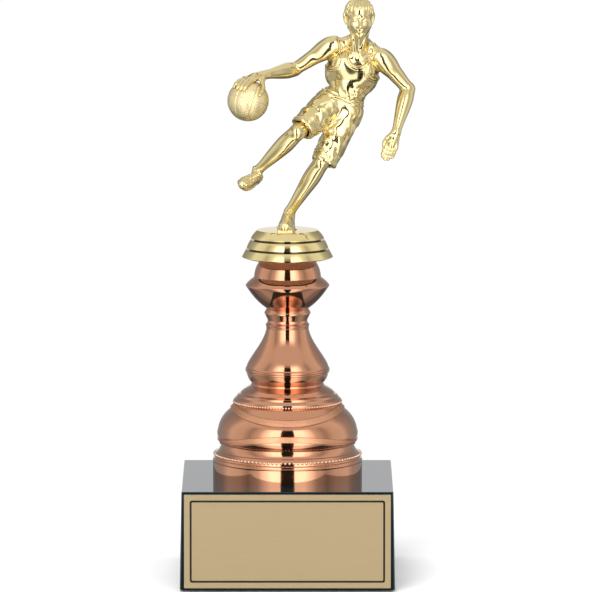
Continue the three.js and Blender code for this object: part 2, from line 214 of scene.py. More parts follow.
def make_finishes():
    made = {slot: look(slot, **row) for slot, row in LOOKS.items()}
    # The disc's gold, with painted shade in the grooves between its tiers.
    made["gold_painted_groove_shade"] = gold_with_painted_groove_shade()
    pebbled, pebble = made["gold_pebbled"], 0.62 * MM
    cells = node(pebbled, "ShaderNodeTexVoronoi", [("Vector", place(pebbled), "Vector")], Scale=1 / pebble)
    relief(pebbled, cells, -0.07)
    return made


# ---------------------------------------------------------------- mesh helpers, in mm

def solid(name, points, faces, sharp=35):
    """A mesh piece, smooth except across edges sharper than `sharp` degrees."""
    mesh = bpy.data.meshes.new(name)
    mesh.from_pydata((np.asarray(points, float) * MM).tolist(), [], faces)
    mesh.validate()
    mesh.shade_smooth()
    mesh.set_sharp_from_angle(angle=math.radians(sharp))
    return added(name, mesh)


def added(name, data):
    """A new object in the scene, for a mesh, a lamp or a camera."""
    made = bpy.data.objects.new(name, data)
    bpy.context.scene.collection.objects.link(made)
    return made


def merged(parts):
    """Several (points, faces) meshes as one."""
    points, faces, start = [], [], 0
    for p, f in parts:
        points.append(np.asarray(p, float))
        faces += [[i + start for i in face] for face in f]
        start += len(p)
    return np.vstack(points), faces


def outline(start, *steps, parts=20):
    """A half section: each step is a line's end, or a quadratic's or cubic's controls and end."""
    rows = [np.asarray(start, float)]
    for step in steps:
        p = np.array([rows[-1], *np.reshape(step, (-1, 2))], float)
        count = 1 if len(p) == 2 else parts
        for t in np.arange(1, count + 1) / count:
            q = p
            while len(q) > 1:
                q = q[:-1] * (1 - t) + q[1:] * t
            rows.append(q[0])
    return np.array(rows)


def eased(rows, radius, steps=4):
    """Rounds the corners of a half section, as far as the neighbouring points allow."""
    rows = np.asarray(rows, float)
    out = []
    for i, p in enumerate(rows):
        if i in (0, len(rows) - 1):
            out.append(p)
            continue
        a, b = rows[i - 1] - p, rows[i + 1] - p
        la, lb = np.linalg.norm(a), np.linalg.norm(b)
        turn = math.degrees(math.acos(np.clip(-a.dot(b) / (la * lb), -1, 1)))
        if turn < 20:
            out.append(p)
            continue
        reach = min(radius * math.tan(math.radians(min(turn, 120) / 2)), 0.45 * la, 0.45 * lb)
        first, last = p + a / la * reach, p + b / lb * reach
        for s in np.linspace(0, 1, steps + 1):
            out.append(first * (1 - s) ** 2 + p * 2 * s * (1 - s) + last * s ** 2)
    return np.array(out)


def woven(count, n, ring=True, closed=True):
    """Faces between neighbouring rows of n points. In a ring the last row meets the first."""
    faces = []
    for i in range(count if ring else count - 1):
        a, b = i * n, (i + 1) % count * n
        faces += [[a + j, b + j, b + (j + 1) % n, a + (j + 1) % n] for j in range(n if closed else n - 1)]
    return faces


def lathe(rows, segments=256, closed=True, shape=None):
    """Points and faces of a half section turned about the axis, walked counterclockwise around solid stuff
    with r to the right and z up. shape(turn, r, z) may return changed r and z."""
    rows = np.asarray(rows, float)
    turn = 2 * math.pi * np.arange(segments) / segments
    r, z = rows[:, 0][None, :], rows[:, 1][None, :]
    t = turn[:, None] + 0 * r
    r, z = r + 0 * t, z + 0 * t
    if shape:
        r, z = shape(t, r, z)
    points = np.stack([r * np.cos(t), r * np.sin(t), z], -1).reshape(-1, 3)
    return points, woven(segments, len(rows), closed=closed)


def capped(rows, segments=64, shape=None):
    """A turned piece that starts and ends on the axis: each end is one point."""
    points, faces = lathe(rows[1:-1], segments, closed=False, shape=shape)
    n, count = len(rows) - 2, len(points)
    points = np.vstack([points, [0, 0, rows[0][1]], [0, 0, rows[-1][1]]])
    for i in range(segments):
        a, b = i * n, (i + 1) % segments * n
        faces.append([count, b, a])
        faces.append([a + n - 1, b + n - 1, count + 1])
    return points, faces


def finished(piece, body, slot, *nodes):
    """Puts a piece in its body, gives it its finish and hides the CAD nodes that it stands in for."""
    piece.data.materials.clear()
    piece.data.materials.append(FINISHES[slot])
    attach(piece, body)
    if nodes:
        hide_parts(*nodes)
    return piece


# ---------------------------------------------------------------- clay

FAR = 3.0  # mm: distances beyond this are not kept


def unit(v):
    v = np.asarray(v, float)
    return v / np.linalg.norm(v)


def soft_min(a, b, blend):
    if blend <= 0:
        return np.minimum(a, b)
    h = np.clip(0.5 + 0.5 * (b - a) / blend, 0, 1)
    return b + (a - b) * h - blend * h * (1 - h)


def soft_max(a, b, blend):
    return -soft_min(-a, -b, blend)


class Frame:
    """A local frame: an origin and three axes, in which a body part's shapes are given."""

    def __init__(self, origin, up, side):
        self.origin = np.asarray(origin, float)
        z = unit(up)
        x = np.asarray(side, float)
        x = unit(x - z * x.dot(z))
        self.axes = np.array([x, np.cross(z, x), z])

    def out(self, p):
        """A local point, in the figure's coordinates."""
        return self.origin + np.asarray(p, float) @ self.axes

    def row(self, x, y, z, radius):
        """A local point and a radius, as a row for a tube."""
        return [*self.out((x, y, z)), radius]

    def into(self, x, y, z):
        """Coordinate arrays of the figure, in this frame."""
        dx, dy, dz = x - self.origin[0], y - self.origin[1], z - self.origin[2]
        return [(dx * a[0] + dy * a[1] + dz * a[2]).astype(np.float32) for a in self.axes]


WORLD = Frame((0, 0, 0), (0, 0, 1), (1, 0, 0))


class Clay:
    """A block of clay: the distance to the surface, in mm, on a regular grid."""

    def __init__(self, low, high, step):
        self.low = np.asarray(low, float)
        step *= COARSE
        self.step = step
        count = np.ceil((np.asarray(high, float) - self.low) / step).astype(int) + 1
        self.field = np.full(count, FAR, np.float32)

    def near(self, low, high):
        """The part of the grid around a box, and its coordinates."""
        first = np.floor((np.asarray(low) - FAR - self.low) / self.step).astype(int)
        last = np.ceil((np.asarray(high) + FAR - self.low) / self.step).astype(int) + 1
        first = np.clip(first, 0, self.field.shape)
        last = np.clip(last, first, self.field.shape)
        part = tuple(slice(a, b) for a, b in zip(first, last))
        return part, self.places(first, last)

    def places(self, first, last):
        """The coordinates of the grid from the first to the last index, in the figure's frame."""
        return np.ix_(*(np.float32(low) + np.float32(self.step) * np.arange(a, b, dtype=np.float32)
                        for low, a, b in zip(self.low, first, last)))

    def coordinates(self, frame):
        """Every grid point's coordinates in a local frame."""
        return frame.into(*self.places((0, 0, 0), self.field.shape))

    def merge(self, shape, join):
        """Works a shape, or the union of a list of shapes, into the clay."""
        shapes = shape if isinstance(shape, list) else [shape]
        low = np.min([one[1] for one in shapes], 0)
        high = np.max([one[2] for one in shapes], 0)
        part, _ = self.near(low, high)
        if not self.field[part].size:
            return
        whole = np.full_like(self.field, FAR) if len(shapes) > 1 else None
        for distance, one_low, one_high in shapes:
            own, (x, y, z) = self.near(one_low, one_high)
            if whole is None:
                self.field[own] = join(self.field[own], distance(x, y, z))
                return
            whole[own] = np.minimum(whole[own], distance(x, y, z))
        self.field[part] = join(self.field[part], whole[part])

    def put(self, shape, blend=1.0):
        self.merge(shape, lambda clay, added: soft_min(clay, added, blend))

    def lump(self, centre, radii, blend, frame=None):
        """Puts in an ellipsoid, given in a local frame."""
        self.put(egg(centre, radii, frame or WORLD), blend)

    def roll(self, rows, blend, steps=14):
        """Puts in a round tube through rows of x, y, z and radius."""
        self.put(tube(rows, steps), blend)

    def cut(self, shape, blend=0.3):
        self.merge(shape, lambda clay, taken: soft_max(clay, -taken, blend))

    def keep(self, shape, blend=0.3):
        """Cuts away everything outside a shape."""
        distance = shape[0]
        self.field = soft_max(self.field, distance(*self.places((0, 0, 0), self.field.shape)), blend)

    def shift(self, amount, low, high):
        """Moves the surface in or out by a function of place; positive grows it."""
        part, (x, y, z) = self.near(low, high)
        if self.field[part].size:
            self.field[part] -= amount(x, y, z)

    def soften(self, times):
        """Blurs the clay slightly, which takes facets and hard inner corners out."""
        for _ in range(times):
            for axis in range(3):
                f = np.moveaxis(self.field, axis, 0)
                f[1:-1] = 0.25 * (f[:-2] + f[2:]) + 0.5 * f[1:-1]

    def mesh(self, name, passes=2):
        """The clay's surface as a smooth-shaded object, in metres."""
        field = np.clip(self.field, -FAR, FAR)
        for axis in range(3):
            ends = [slice(None)] * 3
            for end in (0, -1):
                ends[axis] = end
                field[tuple(ends)] = np.maximum(field[tuple(ends)], self.step)
        grid = openvdb.FloatGrid(background=FAR)
        grid.copyFromArray(field)
        points, quads = grid.convertToQuads(0.0)
        points = self.low + points.astype(float) * self.step
        points = relaxed(points, quads, passes)
        mesh = bpy.data.meshes.new(name)
        mesh.from_pydata(points * MM, [], quads[:, ::-1].tolist())
        mesh.validate()
        mesh.shade_smooth()
        return added(name, mesh)


def relaxed(points, quads, passes):
    """Evens out the grid's small steps, a little inwards and then a little outwards in each pass."""
    a = np.concatenate([quads[:, i] for i in range(4)])
    b = np.concatenate([quads[:, (i + 1) % 4] for i in range(4)])
    a, b = np.concatenate([a, b]), np.concatenate([b, a])
    count = np.bincount(a, minlength=len(points))[:, None]
    for _ in range(passes):
        for weight in (0.5, -0.52):
            total = np.stack([np.bincount(a, points[b, i], len(points)) for i in range(3)], 1)
            points = points + weight * (total / count - points)
    return points


# ---------------------------------------------------------------- shapes in the clay

def along(x, y, z, start, axis):
    """How far each place is past a point, along an axis."""
    return (x - start[0]) * axis[0] + (y - start[1]) * axis[1] + (z - start[2]) * axis[2]


def apart(x, y, z, point):
    """How far each place is from a point."""
    return np.sqrt((x - point[0]) ** 2 + (y - point[1]) ** 2 + (z - point[2]) ** 2)


def bar(a, b, ra, rb):
    """A round bar with round ends, tapering from radius ra at a to rb at b."""
    a, b = np.asarray(a, float), np.asarray(b, float)
    ab = b - a
    length2 = max(float(ab.dot(ab)), 1e-9)

    def distance(x, y, z):
        t = np.clip(along(x, y, z, a, ab) / length2, 0, 1).astype(np.float32)
        return apart(x - a[0], y - a[1], z - a[2], [step * t for step in ab]) - (ra + (rb - ra) * t)

    r = max(ra, rb)
    return distance, np.minimum(a, b) - r, np.maximum(a, b) + r


def egg(centre, radii, frame=WORLD):
    """An ellipsoid, its centre and radii given in a local frame."""
    middle = frame.out(centre)
    radii = np.asarray(radii, float)
    local = Frame(middle, frame.axes[2], frame.axes[0])

    def distance(x, y, z):
        u, v, w = local.into(x, y, z)
        a = np.sqrt((u / radii[0]) ** 2 + (v / radii[1]) ** 2 + (w / radii[2]) ** 2)
        b = np.sqrt((u / radii[0] ** 2) ** 2 + (v / radii[1] ** 2) ** 2 + (w / radii[2] ** 2) ** 2)
        return (a * (a - 1) / np.maximum(b, 1e-6)).astype(np.float32)

    r = radii.max()
    return distance, middle - r, middle + r


def half(point, away):
    """Everything behind a plane that faces away."""
    point, away = np.asarray(point, float), unit(away)

    def distance(x, y, z):
        return along(x, y, z, point, away).astype(np.float32)

    return distance, np.full(3, -1e3), np.full(3, 1e3)


def curve(points, steps=6):
    """A smooth run through the points; each row may carry a radius as its fourth number."""
    p = np.asarray(points, float)
    p = np.vstack([2 * p[0] - p[1], p, 2 * p[-1] - p[-2]])
    rows = []
    for i in range(1, len(p) - 2):
        for s in range(steps):
            t = s / steps
            rows.append(0.5 * (2 * p[i] + (p[i + 1] - p[i - 1]) * t
                               + (2 * p[i - 1] - 5 * p[i] + 4 * p[i + 1] - p[i + 2]) * t ** 2
                               + (3 * p[i] - p[i - 1] - 3 * p[i + 1] + p[i + 2]) * t ** 3))
    rows.append(p[-2])
    return np.array(rows)


def tube(points, steps=14):
    """A round tube along a smooth curve through rows of x, y, z and radius."""
    rows = curve(points, steps)
    return [bar(a[:3], b[:3], a[3], b[3]) for a, b in zip(rows, rows[1:])]


def waves(x, y, z, seed, size):
    """Smooth irregular ripples about `size` mm long, from -1 to 1: bent sines in several directions."""
    rng = np.random.default_rng(seed)
    total = 0
    for octave in range(4):
        k = rng.normal(size=(2, 3))
        k = k / np.linalg.norm(k, axis=1)[:, None] * 2 * math.pi / size * (1 + 0.35 * octave)
        phase = rng.uniform(0, 6.28, 2)
        bend = np.sin(k[1][0] * x + k[1][1] * y + k[1][2] * z + phase[1])
        total = total + np.sin(k[0][0] * x + k[0][1] * y + k[0][2] * z + phase[0] + 1.3 * bend)
    return (total / 2.6).astype(np.float32)


def fade(distance, inner, outer):
    """1 up to the inner distance, 0 beyond the outer one, smooth between."""
    t = np.clip((outer - distance) / (outer - inner), 0, 1)
    return t * t * (3 - 2 * t)


# ---------------------------------------------------------------- the turned riser

BASE_TOP = 47.6
WAIST, DISH_RIM, VASE_TOP, COLLAR_TOP, CUP_RIM, RISER_TOP = 92.7, 97.7, 122.9, 128.4, 139.3, 153.6
ROD_HOLE = 3.6
FIT = 0.3

DOME_FLANK = outline(
    (35.7, BASE_TOP), (35.7, 55.4), (35.6, 56.8, 34.8, 57.3), (34.8, 59), (33, 60.6),
    (30.8, 63.6, 32.8, 65.3), (33.8, 68.2, 32.6, 70.8), (31.3, 76.6, 27.4, 80.4), (25.1, 82.8),
    (26.4, 84.3, 25.3, 85.4), (24.2, 86.4), (23.8, 87.4), (22.3, 88.2), (21.6, 89.6, 17.5, 91.8),
    (17.1, WAIST))
BEAD_ROWS = ((34.8, 58.7, 0.7, 108), (25.6, 83.8, 0.56, 112))  # ring radius, height, bead radius, how many


def sway(turn):
    """0 at the front and back of the dome, 1 at its sides."""
    return 0.5 + 0.5 * np.cos(2 * turn)


def upper_ribbon(turn):
    return 77.0 + 5.0 * sway(turn)


def lower_ribbon(turn):
    return 69.75 - 5.0 * sway(turn)


def ridges(z, rows):
    """Fine raised lines: rows of height, width and how far they stand out."""
    return sum(proud * np.exp(-((z - at) / width) ** 2) for at, width, proud in rows)


def dome_shape(turn, r, z):
    """The outer wall swells between the two ribbons."""
    inner = np.interp(z, (56, 63.2, 70.5, 77, 82), (33.4, 29.8, 30.4, 27.8, 23.4))
    outside = r > inner + 0.9
    low, high = lower_ribbon(turn) + 1.2, upper_ribbon(turn) - 1.2
    share = np.clip((z - low) / (high - low), 0, 1)
    swell = 0.75 * np.sqrt(np.clip((high - low) / 12, 0, 1)) * 4 * share * (1 - share)
    lines = ridges(z, ((56.9, 0.22, 0.22), (55.7, 0.25, 0.16), (60.2, 0.2, 0.15), (86.9, 0.2, 0.2)))
    return r + outside * (swell + lines), z


def fine(rows, step=0.35):
    """Adds points along the straight runs of a half section, so that it can take relief."""
    out = [rows[0]]
    for a, b in zip(rows, rows[1:]):
        count = max(1, int(np.ceil(np.linalg.norm(b - a) / step)))
        out += [a + (b - a) * t for t in np.arange(1, count + 1) / count]
    return np.array(out)


def dome():
    inside = outline((17.1, WAIST), (10, WAIST), (10, WAIST + 1.2), (ROD_HOLE, WAIST + 1.2),
                     (ROD_HOLE, WAIST - 2), (15.3, WAIST - 2), (19.6, 87.2), (23.4, 82),
                     (28.6, 77.6, 30.4, 70.5), (29.8, 63.2), (33.4, 56), (33.4, BASE_TOP), parts=8)
    rows = np.vstack([fine(eased(DOME_FLANK, 0.35)), inside[1:]])
    skin = solid("riser_dome_skin", *lathe(rows, 360, shape=dome_shape))
    finished(skin, STAND, "copper_mirror", "riser_dome")


def ribbon(name, centre, height):
    """A raised frosted band that rises and falls around the dome, with a ridge along each edge."""
    v = np.linspace(-1, 1, 17)
    face = 0.42 * (1 - v ** 8) + 0.24 * np.exp(-((np.abs(v) - 0.84) / 0.09) ** 2)
    turns = 2 * math.pi * np.arange(360) / 360
    points = []
    for t in turns:
        z = centre(t) + 0.5 * height(t) * v
        r = np.interp(z, DOME_FLANK[:, 1], DOME_FLANK[:, 0]) + 0.1
        ring = np.concatenate([np.stack([r + face, z], 1), np.stack([r - 0.9, z], 1)[::-1]])
        points += [(q * math.cos(t), q * math.sin(t), h) for q, h in ring]
    finished(solid(name, points, woven(len(turns), 2 * len(v)), 50), STAND, "copper_frosted")


def beads():
    """Two rows of small beads around the dome."""
    points, faces = capped(np.array([(math.sin(a), -math.cos(a)) for a in np.linspace(0, math.pi, 6)]), 8)
    parts = []
    for ring, height, size, count in BEAD_ROWS:
        for i in range(count):
            t = 2 * math.pi * (i + 0.5) / count
            parts.append((points * size + (ring * math.cos(t), ring * math.sin(t), height), faces))
    made = finished(solid("riser_beads", *merged(parts), 80), STAND, "copper_mirror")
    # The beads' paler copper is a painted highlight on each bead.
    made.data.materials[0] = FINISHES["copper_bead_painted_highlight"]


def turned(name, node_name, flank, inside, lines=(), slot="copper_mirror"):
    """A turned ring: the outer flank, eased and with fine raised lines, and the plain inside."""
    rows = fine(eased(flank, 0.3)) if lines else eased(flank, 0.3)
    rows = rows + np.stack([ridges(rows[:, 1], lines), 0 * rows[:, 0]], 1) if lines else rows
    rows = np.vstack([rows, inside])
    finished(solid(name, *lathe(rows)), STAND, slot, node_name)


def riser():
    dome()
    ribbon("riser_ribbon_upper", upper_ribbon, lambda t: 3.1 - 1.2 * sway(t))
    ribbon("riser_ribbon_lower", lower_ribbon, lambda t: 2.9 - 0.3 * sway(t))
    beads()
    turned("riser_dish_skin", "riser_dish",
           outline((10 + FIT, WAIST), (17.1, WAIST), (18, 93.7), (19.2, 95.4, 19.6, DISH_RIM)),
           [(17.6, DISH_RIM), (17.4, 95.4), (16.6, WAIST + 1.8), (10 + FIT, WAIST + 1.8)])
    turned("riser_vase_skin", "riser_vase",
           outline((19.6, DISH_RIM), (20.5, 99.2, 19.6, 100.5), (18.6, 105, 10.6, 112.5, 10, 119.6),
                   (10.9, 120.5, 9.6, 121.8), (9.5, VASE_TOP), parts=28),
           [(6, VASE_TOP), (6, VASE_TOP + 1.4), (ROD_HOLE, VASE_TOP + 1.4), (ROD_HOLE, VASE_TOP - 2),
            (7.8, VASE_TOP - 2), (8.6, 114), (12, 108), (15, 104), (16.2, 101), (16, DISH_RIM - 1.8),
            (17, DISH_RIM - 1.8), (17, DISH_RIM)],
           (*((z, 0.18, 0.2) for z in (98.1, 98.95, 99.8)), (119.4, 0.25, 0.3), (120.9, 0.25, 0.25)))
    turned("riser_collar_skin", "riser_collar",
           outline((6 + FIT, VASE_TOP), (9.5, VASE_TOP), (10.1, 124.2, 10.9, 125.8),
                   (11.2, 126.3, 10.9, 126.8), (10, COLLAR_TOP), (6 + FIT, COLLAR_TOP)), np.empty((0, 2)))
    turned("riser_cup_skin", "riser_cup",
           outline((6, COLLAR_TOP), (10, COLLAR_TOP), (15.5, 132, 19.8, 139), (19.9, CUP_RIM)),
           [(17.8, CUP_RIM), (17.8, CUP_RIM - 1.7), (16.6, CUP_RIM - 2.1), (13, 133.4), (8.5, 130.4),
            (ROD_HOLE, 130.4), (ROD_HOLE, COLLAR_TOP - 1.4), (6, COLLAR_TOP - 1.4)])
    turned("riser_cap_skin", "riser_cap",
           outline((19.9, CUP_RIM), (20, 139.8), (18.6, 141.8, 16, 143.6), (15.5, 150.4, 10.5, RISER_TOP),
                   parts=28),
           [(ROD_HOLE, RISER_TOP), (ROD_HOLE, RISER_TOP - 2.2), (9.6, RISER_TOP - 2.2), (12.6, 149),
            (14, 144.4), (16.2, 141.6), (16.2, CUP_RIM - 1.4), (17.5, CUP_RIM - 1.4), (17.5, CUP_RIM)])


# ---------------------------------------------------------------- the tiered disc under the player

DISC_BOTTOM, DISC_TOP = 152.6, 166
TANG = 4.3 + FIT


def hexagonal(across, turn, start=0.0):
    """Distance from the axis to a hexagon's side."""
    within = (turn - start) % (math.pi / 3) - math.pi / 6
    return across / 2 / np.cos(within)


def disc():
    flank = outline((19.4, DISC_BOTTOM), (20.4, DISC_BOTTOM), (21.7, DISC_BOTTOM + 0.6),
                    (20.9, 155, 19.8, 156.8), (18.0, 156.7), (18.0, 157.4), (19.5, 157.6),
                    (18.8, 159.6, 17.7, 161.3), (15.9, 161.2), (15.9, 161.9), (17.5, 162.2),
                    (16.4, 164.2, 14.8, 165.7), (14.4, DISC_TOP), (TANG, DISC_TOP))
    nut_wall, nut_across = 5.8, 11.7
    inside = [(TANG, 162.2), (2, 162.2), (2, 160.8), (nut_wall, 160.8), (nut_wall, RISER_TOP + FIT),
              (9, RISER_TOP + FIT), (9, 163), (13.4, 163), (17.2, 157)]

    def pocket(turn, r, z):
        """The hub's pocket is hexagonal, as the nut in it."""
        return np.where(np.isclose(r, nut_wall), hexagonal(nut_across, turn), r), z

    outside = eased(flank, 0.22)
    rows = np.vstack([outside, inside])
    made = solid("figure_disc", *lathe(rows, 288, shape=pocket))
    finished(made, FIGURE, "gold_mirror", "figure_base")
    # The outside takes the gold with painted shade in the grooves between the tiers.
    made.data.materials[0] = FINISHES["gold_painted_groove_shade"]
    made.data.materials.append(FINISHES["disc_inside"])
    for face in made.data.polygons:
        face.material_index = int(face.index % len(rows) >= len(outside))


# ---------------------------------------------------------------- rod, nuts, washers and screws

PITCH = 1.27
ROD = 3.1


def threaded(depth, low, high, radius):
    """Cuts a screw thread into the walls near `radius` between two heights."""
    def shape(turn, r, z):
        phase = (z / PITCH - turn / (2 * math.pi)) % 1
        groove = depth * (1 - 2 * np.abs(phase - 0.5))
        ends = np.clip((z - low) / 0.8, 0, 1) * np.clip((high - z) / 0.8, 0, 1)
        return np.where(np.abs(r - radius) < 0.02, r - groove * ends, r), z
    return shape


def rod():
    low, high = 24, 160
    heights = np.arange(low + 0.6, high - 0.6, PITCH / 8)
    rows = [(0, low), (ROD - 0.6, low), *((ROD, h) for h in heights), (ROD - 0.6, high), (0, high)]
    points = capped(np.array(rows), 32, threaded(0.5, low, high, ROD))
    finished(solid("rod_thread", *points, 40), STAND, "zinc_steel", "threaded_rod")


def nut(name, node_name, body, slot, bottom):
    """A hexagon nut with its corners chamfered and the bore's mouth eased."""
    across, thick, bore = 11.1, 5.6, 3.5
    flat = across / 2 * 0.96
    rows = [(bore, bottom + 0.5), (bore + 0.5, bottom), (flat, bottom), (9, bottom), (9, bottom + thick),
            (flat, bottom + thick), (bore + 0.5, bottom + thick), (bore, bottom + thick - 0.5)]

    def shape(turn, r, z):
        side = hexagonal(across, turn)
        drop = np.maximum(side - flat, 0) * 0.55
        corner = r > 8
        middle = bottom + thick / 2
        return np.where(corner, side, r), np.where(corner, z + np.where(z > middle, -drop, drop), z)

    finished(solid(name, *lathe(rows, 144, shape=shape), 28), body, slot, node_name)


def washer(name, node_name, outer, bottom, top, gap=0.0):
    """A flat washer, or with a gap a split spring washer."""
    edge = 0.25
    rows = [(ROD_HOLE, bottom), (outer - edge, bottom), (outer, bottom + edge), (outer, top - edge),
            (outer - edge, top), (ROD_HOLE, top)]
    if not gap:
        finished(solid(name, *lathe(rows, 128)), STAND, "zinc_steel", node_name)
        return
    turns = np.linspace(gap, 2 * math.pi - gap, 120)
    points = [(r * math.cos(t), r * math.sin(t), z) for t in turns for r, z in rows]
    n = len(rows)
    ends = [list(range(n)), [len(points) - 1 - j for j in range(n)]]
    finished(solid(name, points, woven(len(turns), n, ring=False) + ends), STAND, "zinc_steel", node_name)


def cover_screw(i, x, y):
    """A countersunk wood screw, point up, with a cross recess in its head."""
    bottom, shank = 1.3, 1.5
    heights = np.arange(bottom + 2.2, 15, 0.16)
    rows = [(0, bottom), *((r, bottom) for r in (0.4, 0.8, 1.2, 1.6, 2.4, 2.9)), (3, bottom + 0.12),
            (shank, bottom + 1.6), *((shank, h) for h in heights), (0, 17)]
    points, faces = capped(np.array(rows), 48, threaded(0.35, bottom + 2, 15.5, shank))
    r, head = np.hypot(points[:, 0], points[:, 1]), np.abs(points[:, 2] - bottom) < 0.05
    cross = np.minimum(np.abs(points[:, 0]), np.abs(points[:, 1])) < 0.32
    points[:, 2] += np.where(head & cross & (r < 1.7), 0.9 - 0.4 * r, 0)
    made = solid(f"cover_screw_{i}_thread", points + (x, y, 0), faces, 30)
    finished(made, STAND, "zinc_steel", f"cover_screw_{i}")


def fasteners():
    rod()
    nut("base_nut_hex", "base_nut", STAND, "zinc_steel", 29.5)
    nut("figure_nut_hex", "figure_nut", FIGURE, "nut_brass", 154.6)
    washer("base_washer_disc", "base_washer", 11, 36.7, 38.2)
    washer("lock_washer_coil", "lock_washer", 5.6, 35.1, 36.7, gap=0.1)
    for i, (x, y) in enumerate(((1, 1), (-1, 1), (-1, -1), (1, -1)), 1):
        cover_screw(i, 40 * x, 40 * y)


# ---------------------------------------------------------------- base and plate

FOOT, HEAD_SIDE, RIM = 101.6, 100.0, 0.8
LEAN = (FOOT - HEAD_SIDE) / 2 / (BASE_TOP - RIM)
PLATE_CENTRE = 24.2


def base():
    """The base's moulding, its outer edges eased by a small radius."""
    shell = frame["nodes"]["base_shell"].data.copy()
    shell.name = "base_moulding"
    made = added("base_moulding", shell)
    work = bmesh.new()
    work.from_mesh(shell)
    bmesh.ops.remove_doubles(work, verts=work.verts, dist=1e-6)
    bmesh.ops.dissolve_limit(work, angle_limit=math.radians(0.5), verts=work.verts, edges=work.edges)
    reach = HEAD_SIDE / 2 * MM - 1e-4
    outer = [e for e in work.edges if all(max(abs(v.co.x), abs(v.co.y)) > reach for v in e.verts)
             and len(e.link_faces) == 2 and e.calc_face_angle(0) > math.radians(40)]
    bmesh.ops.bevel(work, geom=outer, offset=0.45 * MM, segments=3, profile=0.5, affect="EDGES")
    work.to_mesh(shell)
    work.free()
    shell.shade_smooth()
    shell.set_sharp_from_angle(angle=math.radians(10))
    finished(made, STAND, "base_black", "base_shell")


def on_front(points):
    """Points given across, up from the plate's middle and out from the base's front face."""
    p = np.asarray(points, float)
    a = math.atan(LEAN)
    y = -(FOOT / 2 - LEAN * (PLATE_CENTRE - RIM))
    return np.stack([p[:, 0], y - p[:, 2] * math.cos(a) + p[:, 1] * math.sin(a),
                     PLATE_CENTRE + p[:, 1] * math.cos(a) + p[:, 2] * math.sin(a)], 1)


def rounded_box(width, height, corner, steps=8):
    """A rectangle with round corners, counterclockwise from its lower right corner."""
    out = []
    for k, (sx, sy) in enumerate(((1, -1), (1, 1), (-1, 1), (-1, -1))):
        for a in np.linspace(0, math.pi / 2, steps + 1):
            turn = -math.pi / 2 + k * math.pi / 2 + a
            out.append((sx * (width / 2 - corner) + corner * math.cos(turn),
                        sy * (height / 2 - corner) + corner * math.sin(turn)))
    return np.array(out)


def banded(loops, ring=False):
    """Faces between equal loops of points: a closed ring of loops, or a stack with both ends filled."""
    n = len(loops[0])
    faces = [[a, d, c, b] for a, b, c, d in woven(len(loops), n, ring)]
    if not ring:
        faces += [list(range(n))[::-1], [(len(loops) - 1) * n + j for j in range(n)]]
    return faces


def level(loop, out):
    """A flat loop, this far out from the base's front face."""
    return np.column_stack([loop, np.full(len(loop), float(out))])


def plate():
    width, height, back, thick, edge = 97.5, 44.5, 0.7, 0.6, 0.12
    whole = rounded_box(width, height, 0.35)
    shrunk = rounded_box(width - 2 * edge, height - 2 * edge, 0.25)
    loops = [level(whole, back), level(whole, back + thick - edge), level(shrunk, back + thick)]
    finished(solid("name_plate_sheet", on_front(np.vstack(loops)), banded(loops), 30),
             STAND, "plate_gold", "name_plate")
    inset, line, proud = 2.7, 0.9, 0.03
    outer = rounded_box(width - 2 * inset, height - 2 * inset, 1.1)
    inner = rounded_box(width - 2 * (inset + line), height - 2 * (inset + line), 0.5)
    face = back + thick
    loops = [level(inner, face), level(outer, face), level(outer, face + proud), level(inner, face + proud)]
    border = solid("name_plate_border", on_front(np.vstack(loops)), banded(loops, ring=True), 30)
    finished(border, STAND, "plate_ink")


def carried_over():
    """CAD pieces whose own mesh is shown: each gets its finish."""
    for name, slot in (("base_weight", "plaster"), ("bottom_cover", "fibre_board"), ("bottom_felt", "felt"),
                       ("plate_tape", "tape")):
        mesh = frame["nodes"][name].data
        mesh.materials.clear()
        mesh.materials.append(FINISHES[slot])


# ---------------------------------------------------------------- the ball

BALL = (-18.6, -16, 229.4)
BALL_R = 9.8
BALL_TILT = (0.30, 0.18, 0.94)
BALL_SIDE = (0.80, -0.58, -0.12)


def ball():
    """A ball of eight panels: two great circles and two oval loops are its seams."""
    n = 84
    flat = np.tan(np.linspace(-math.pi / 4, math.pi / 4, n + 1))
    u, v = np.meshgrid(flat, flat, indexing="ij")
    one = np.ones_like(u)
    points, faces, seen = [], [], {}
    for a in ((one, u, v), (-one, v, u), (v, one, u), (u, -one, v), (u, v, one), (v, u, -one)):
        p = np.stack(a, -1)
        p /= np.linalg.norm(p, axis=-1)[..., None]
        index = np.empty(u.shape, int)
        for i in range(n + 1):
            for j in range(n + 1):
                key = tuple(np.round(p[i, j], 5) + 0.0)
                if key not in seen:
                    seen[key] = len(points)
                    points.append(p[i, j])
                index[i, j] = seen[key]
        quads = np.stack([index[:-1, :-1], index[1:, :-1], index[1:, 1:], index[:-1, 1:]], -1)
        faces += quads.reshape(-1, 4).tolist()
    p = np.array(points)
    up = unit(BALL_TILT)
    side = unit(np.asarray(BALL_SIDE) - up * np.dot(BALL_SIDE, up))
    a, b, c = p @ side, p @ np.cross(up, side), p @ up
    loop = 0.7 * (np.sqrt((b / 0.64) ** 2 + (c / 0.88) ** 2) - 1)
    seam = np.minimum(np.minimum(np.abs(a), np.abs(c)), np.abs(loop)) * BALL_R
    depth = 0.22 * np.exp(-(seam / 0.26) ** 2)
    made = solid("ball_skin", p * (BALL_R - depth)[:, None] + BALL, faces, 60)
    finished(made, FIGURE, "gold_pebbled", "basketball")


# ---------------------------------------------------------------- the player, in mm

TRUNK = Frame((28.1, -0.8, 230.5), (6.6, -5, 28.1), (26, -1, -5.1))
HEAD = Frame((33.9, -11.6, 268.5), (0.02, -0.13, 1), (1, 0.07, 0))


